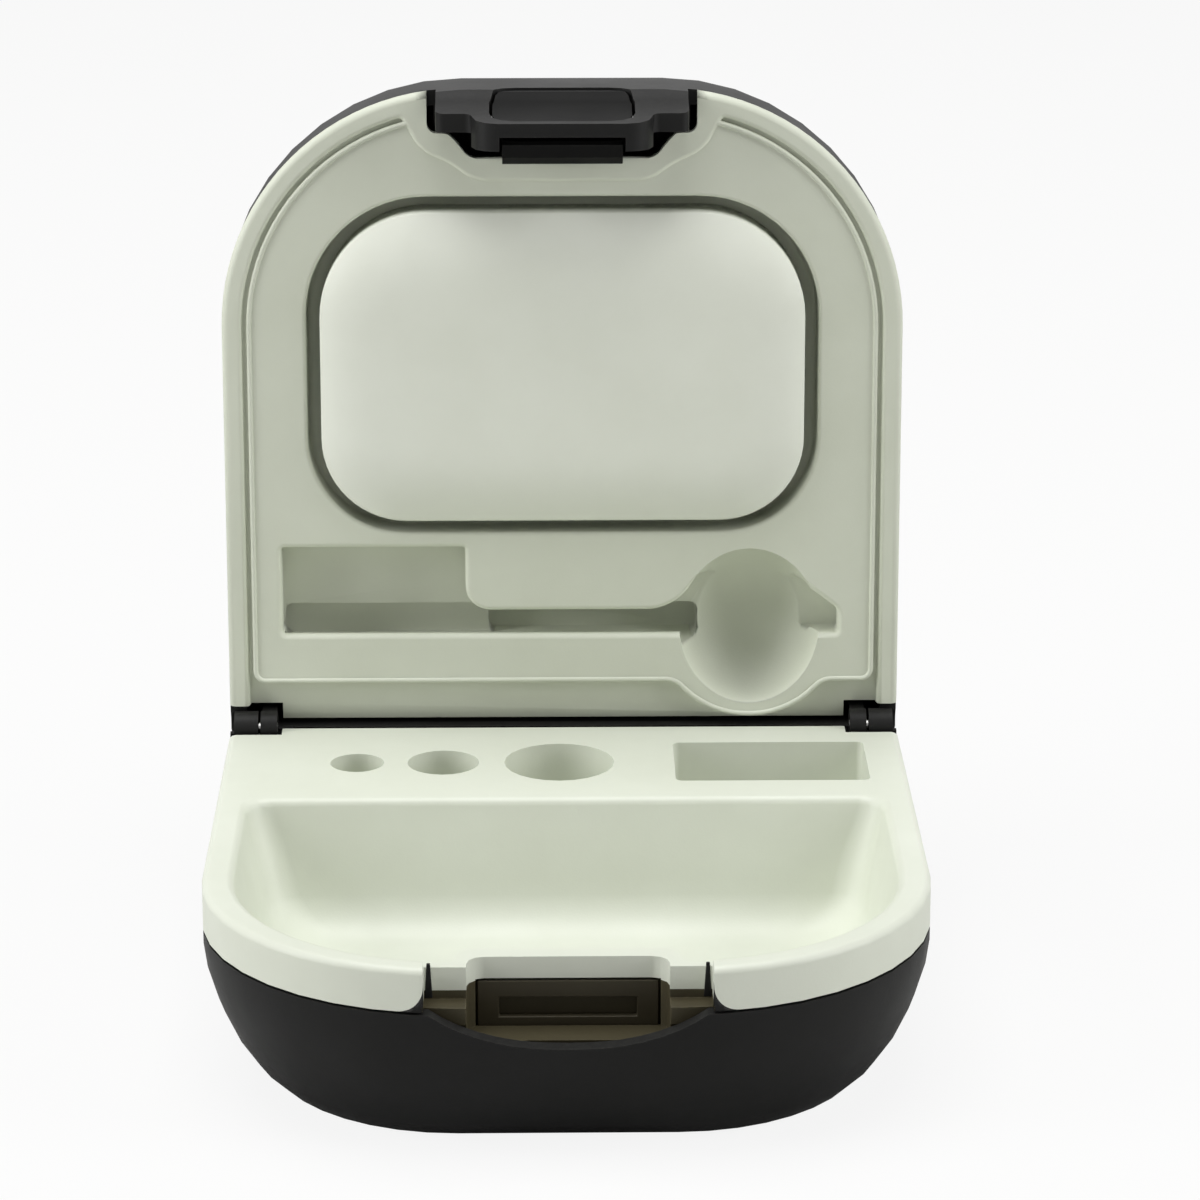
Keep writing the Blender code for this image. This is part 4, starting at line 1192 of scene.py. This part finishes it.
@dataclass(frozen=True)
class Lamp:
    """A soft rectangular lamp.

    Attributes:
        name: Its name.
        place: Where it hangs.
        aim: What it points at.
        size: Its width and its height.
        power: Its strength in watts.
        tint: Its colour.
    """

    name: str
    place: tuple[float, float, float]
    aim: tuple[float, float, float]
    size: tuple[float, float]
    power: float
    tint: tuple[float, float, float] = (1.0, 1.0, 1.0)

    def build(self) -> None:
        """Hangs the lamp."""
        lamp = bpy.data.lights.new(self.name, "AREA")
        lamp.shape = "RECTANGLE"
        lamp.size, lamp.size_y = self.size
        lamp.energy = self.power
        lamp.color = self.tint
        holder = bpy.data.objects.new(self.name, lamp)
        bpy.context.scene.collection.objects.link(holder)
        holder.location = self.place
        holder.rotation_euler = (Vector(self.aim) - Vector(self.place)).to_track_quat("-Z", "Y").to_euler()


@dataclass
class Studio:
    """The camera of the photograph, the pale floor, the plain white surroundings and the lamps."""

    lens: float = 134.592
    sensor: float = 36.0
    camera_place: tuple[float, float, float] = (-2.861 * MM, -474.08 * MM, 199.80 * MM)
    camera_turn: tuple[float, float, float] = (72.397, 0.0, -0.813)
    floor_size: float = 6.0
    floor_glow: float = 0.88
    surroundings: float = 0.07
    lamps: tuple[Lamp, ...] = (
        Lamp("top_lamp", (-0.1, 0.0, 1.1), (0.0, 0.0, 0.03), (0.8, 0.8), 10.2),
        Lamp("left_lamp", (-1.0, -0.25, 0.45), (0.0, 0.0, 0.05), (0.5, 0.7), 7.2),
        Lamp("right_lamp", (1.0, -0.25, 0.45), (0.0, 0.0, 0.05), (0.5, 0.7), 6.4),
    )

    def build(self) -> None:
        """Sets up the whole studio."""
        scene = bpy.context.scene
        scene.view_settings.view_transform = "Standard"
        self.set_camera(scene)
        self.set_world(scene)
        self.lay_floor()
        for lamp in self.lamps:
            lamp.build()

    def set_camera(self, scene: bpy.types.Scene) -> None:
        """Puts the camera at the photograph's angle.

        Args:
            scene: The scene that it belongs to.
        """
        camera = bpy.data.cameras.new("camera")
        camera.lens = self.lens
        camera.sensor_width = self.sensor
        camera.clip_start = 0.01
        camera.clip_end = 20.0
        holder = bpy.data.objects.new("camera", camera)
        scene.collection.objects.link(holder)
        holder.location = self.camera_place
        holder.rotation_euler = [math.radians(angle) for angle in self.camera_turn]
        scene.camera = holder

    def set_world(self, scene: bpy.types.Scene) -> None:
        """Surrounds the case with a plain white, which only the camera and the reflections see in full.

        Args:
            scene: The scene that it belongs to.
        """
        world = bpy.data.worlds.new("plain_white")
        world.use_nodes = True
        scene.world = world
        graph = Graph(world.node_tree)
        background = world.node_tree.nodes["Background"]
        background.inputs["Color"].default_value = (1.0, 1.0, 1.0, 1.0)
        rays = graph.add("ShaderNodeLightPath")
        seen = graph.maths("MAXIMUM", rays.outputs["Is Camera Ray"], rays.outputs["Is Glossy Ray"])
        seen = graph.maths("MAXIMUM", seen, rays.outputs["Is Transmission Ray"])
        strength = graph.spread(seen, (0.0, 1.0), (self.surroundings, 1.0))
        graph.tree.links.new(strength, background.inputs["Strength"])

    def lay_floor(self) -> None:
        """Lays a wide pale floor that fades to white but keeps the case's shadow."""
        bm = bmesh.new()
        bmesh.ops.create_grid(bm, x_segments=8, y_segments=8, size=self.floor_size / 2)
        floor = solid(bm, "floor")
        material = bpy.data.materials.new("pale_floor")
        material.use_nodes = True
        graph = Graph(material.node_tree)
        shader = material.node_tree.nodes["Principled BSDF"]
        shader.inputs["Roughness"].default_value = 0.9
        shader.inputs["Specular IOR Level"].default_value = 0.0
        place = graph.add("ShaderNodeTexCoord")
        cloud = graph.add("ShaderNodeTexNoise", {"Vector": place.outputs["Object"], "Scale": 6.0, "Detail": 3.0})
        tone = graph.blend(cloud.outputs["Fac"], colour(214, 214, 212), colour(220, 220, 218))
        graph.tree.links.new(tone, shader.inputs["Base Color"])
        glow = graph.add("ShaderNodeEmission", {"Color": (1.0, 1.0, 1.0, 1.0), "Strength": 1.0})
        rays = graph.add("ShaderNodeLightPath")
        share = graph.maths("MULTIPLY", rays.outputs["Is Camera Ray"], self.floor_glow)
        mix = graph.add("ShaderNodeMixShader", {0: share, 1: shader.outputs[0], 2: glow.outputs[0]})
        output = material.node_tree.nodes["Material Output"]
        graph.tree.links.new(mix.outputs[0], output.inputs["Surface"])
        floor.data.materials.append(material)


def corners(bounds: Sequence[Vector]) -> list[list[float]]:
    """Turns a box into plain lists.

    Args:
        bounds: The box's lowest and highest corner.

    Returns:
        The same two corners as lists of numbers.
    """
    return [[float(value) for value in corner] for corner in bounds]


def main() -> None:
    """Builds the studio and every sub-assembly."""
    logging.basicConfig(level=logging.INFO, format="%(name)s %(message)s")
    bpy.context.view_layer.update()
    Studio().build()
    for part in (BaseHalf(), LidHalf(), Latch()):
        part.build()


if __name__ == "__main__":
    main()
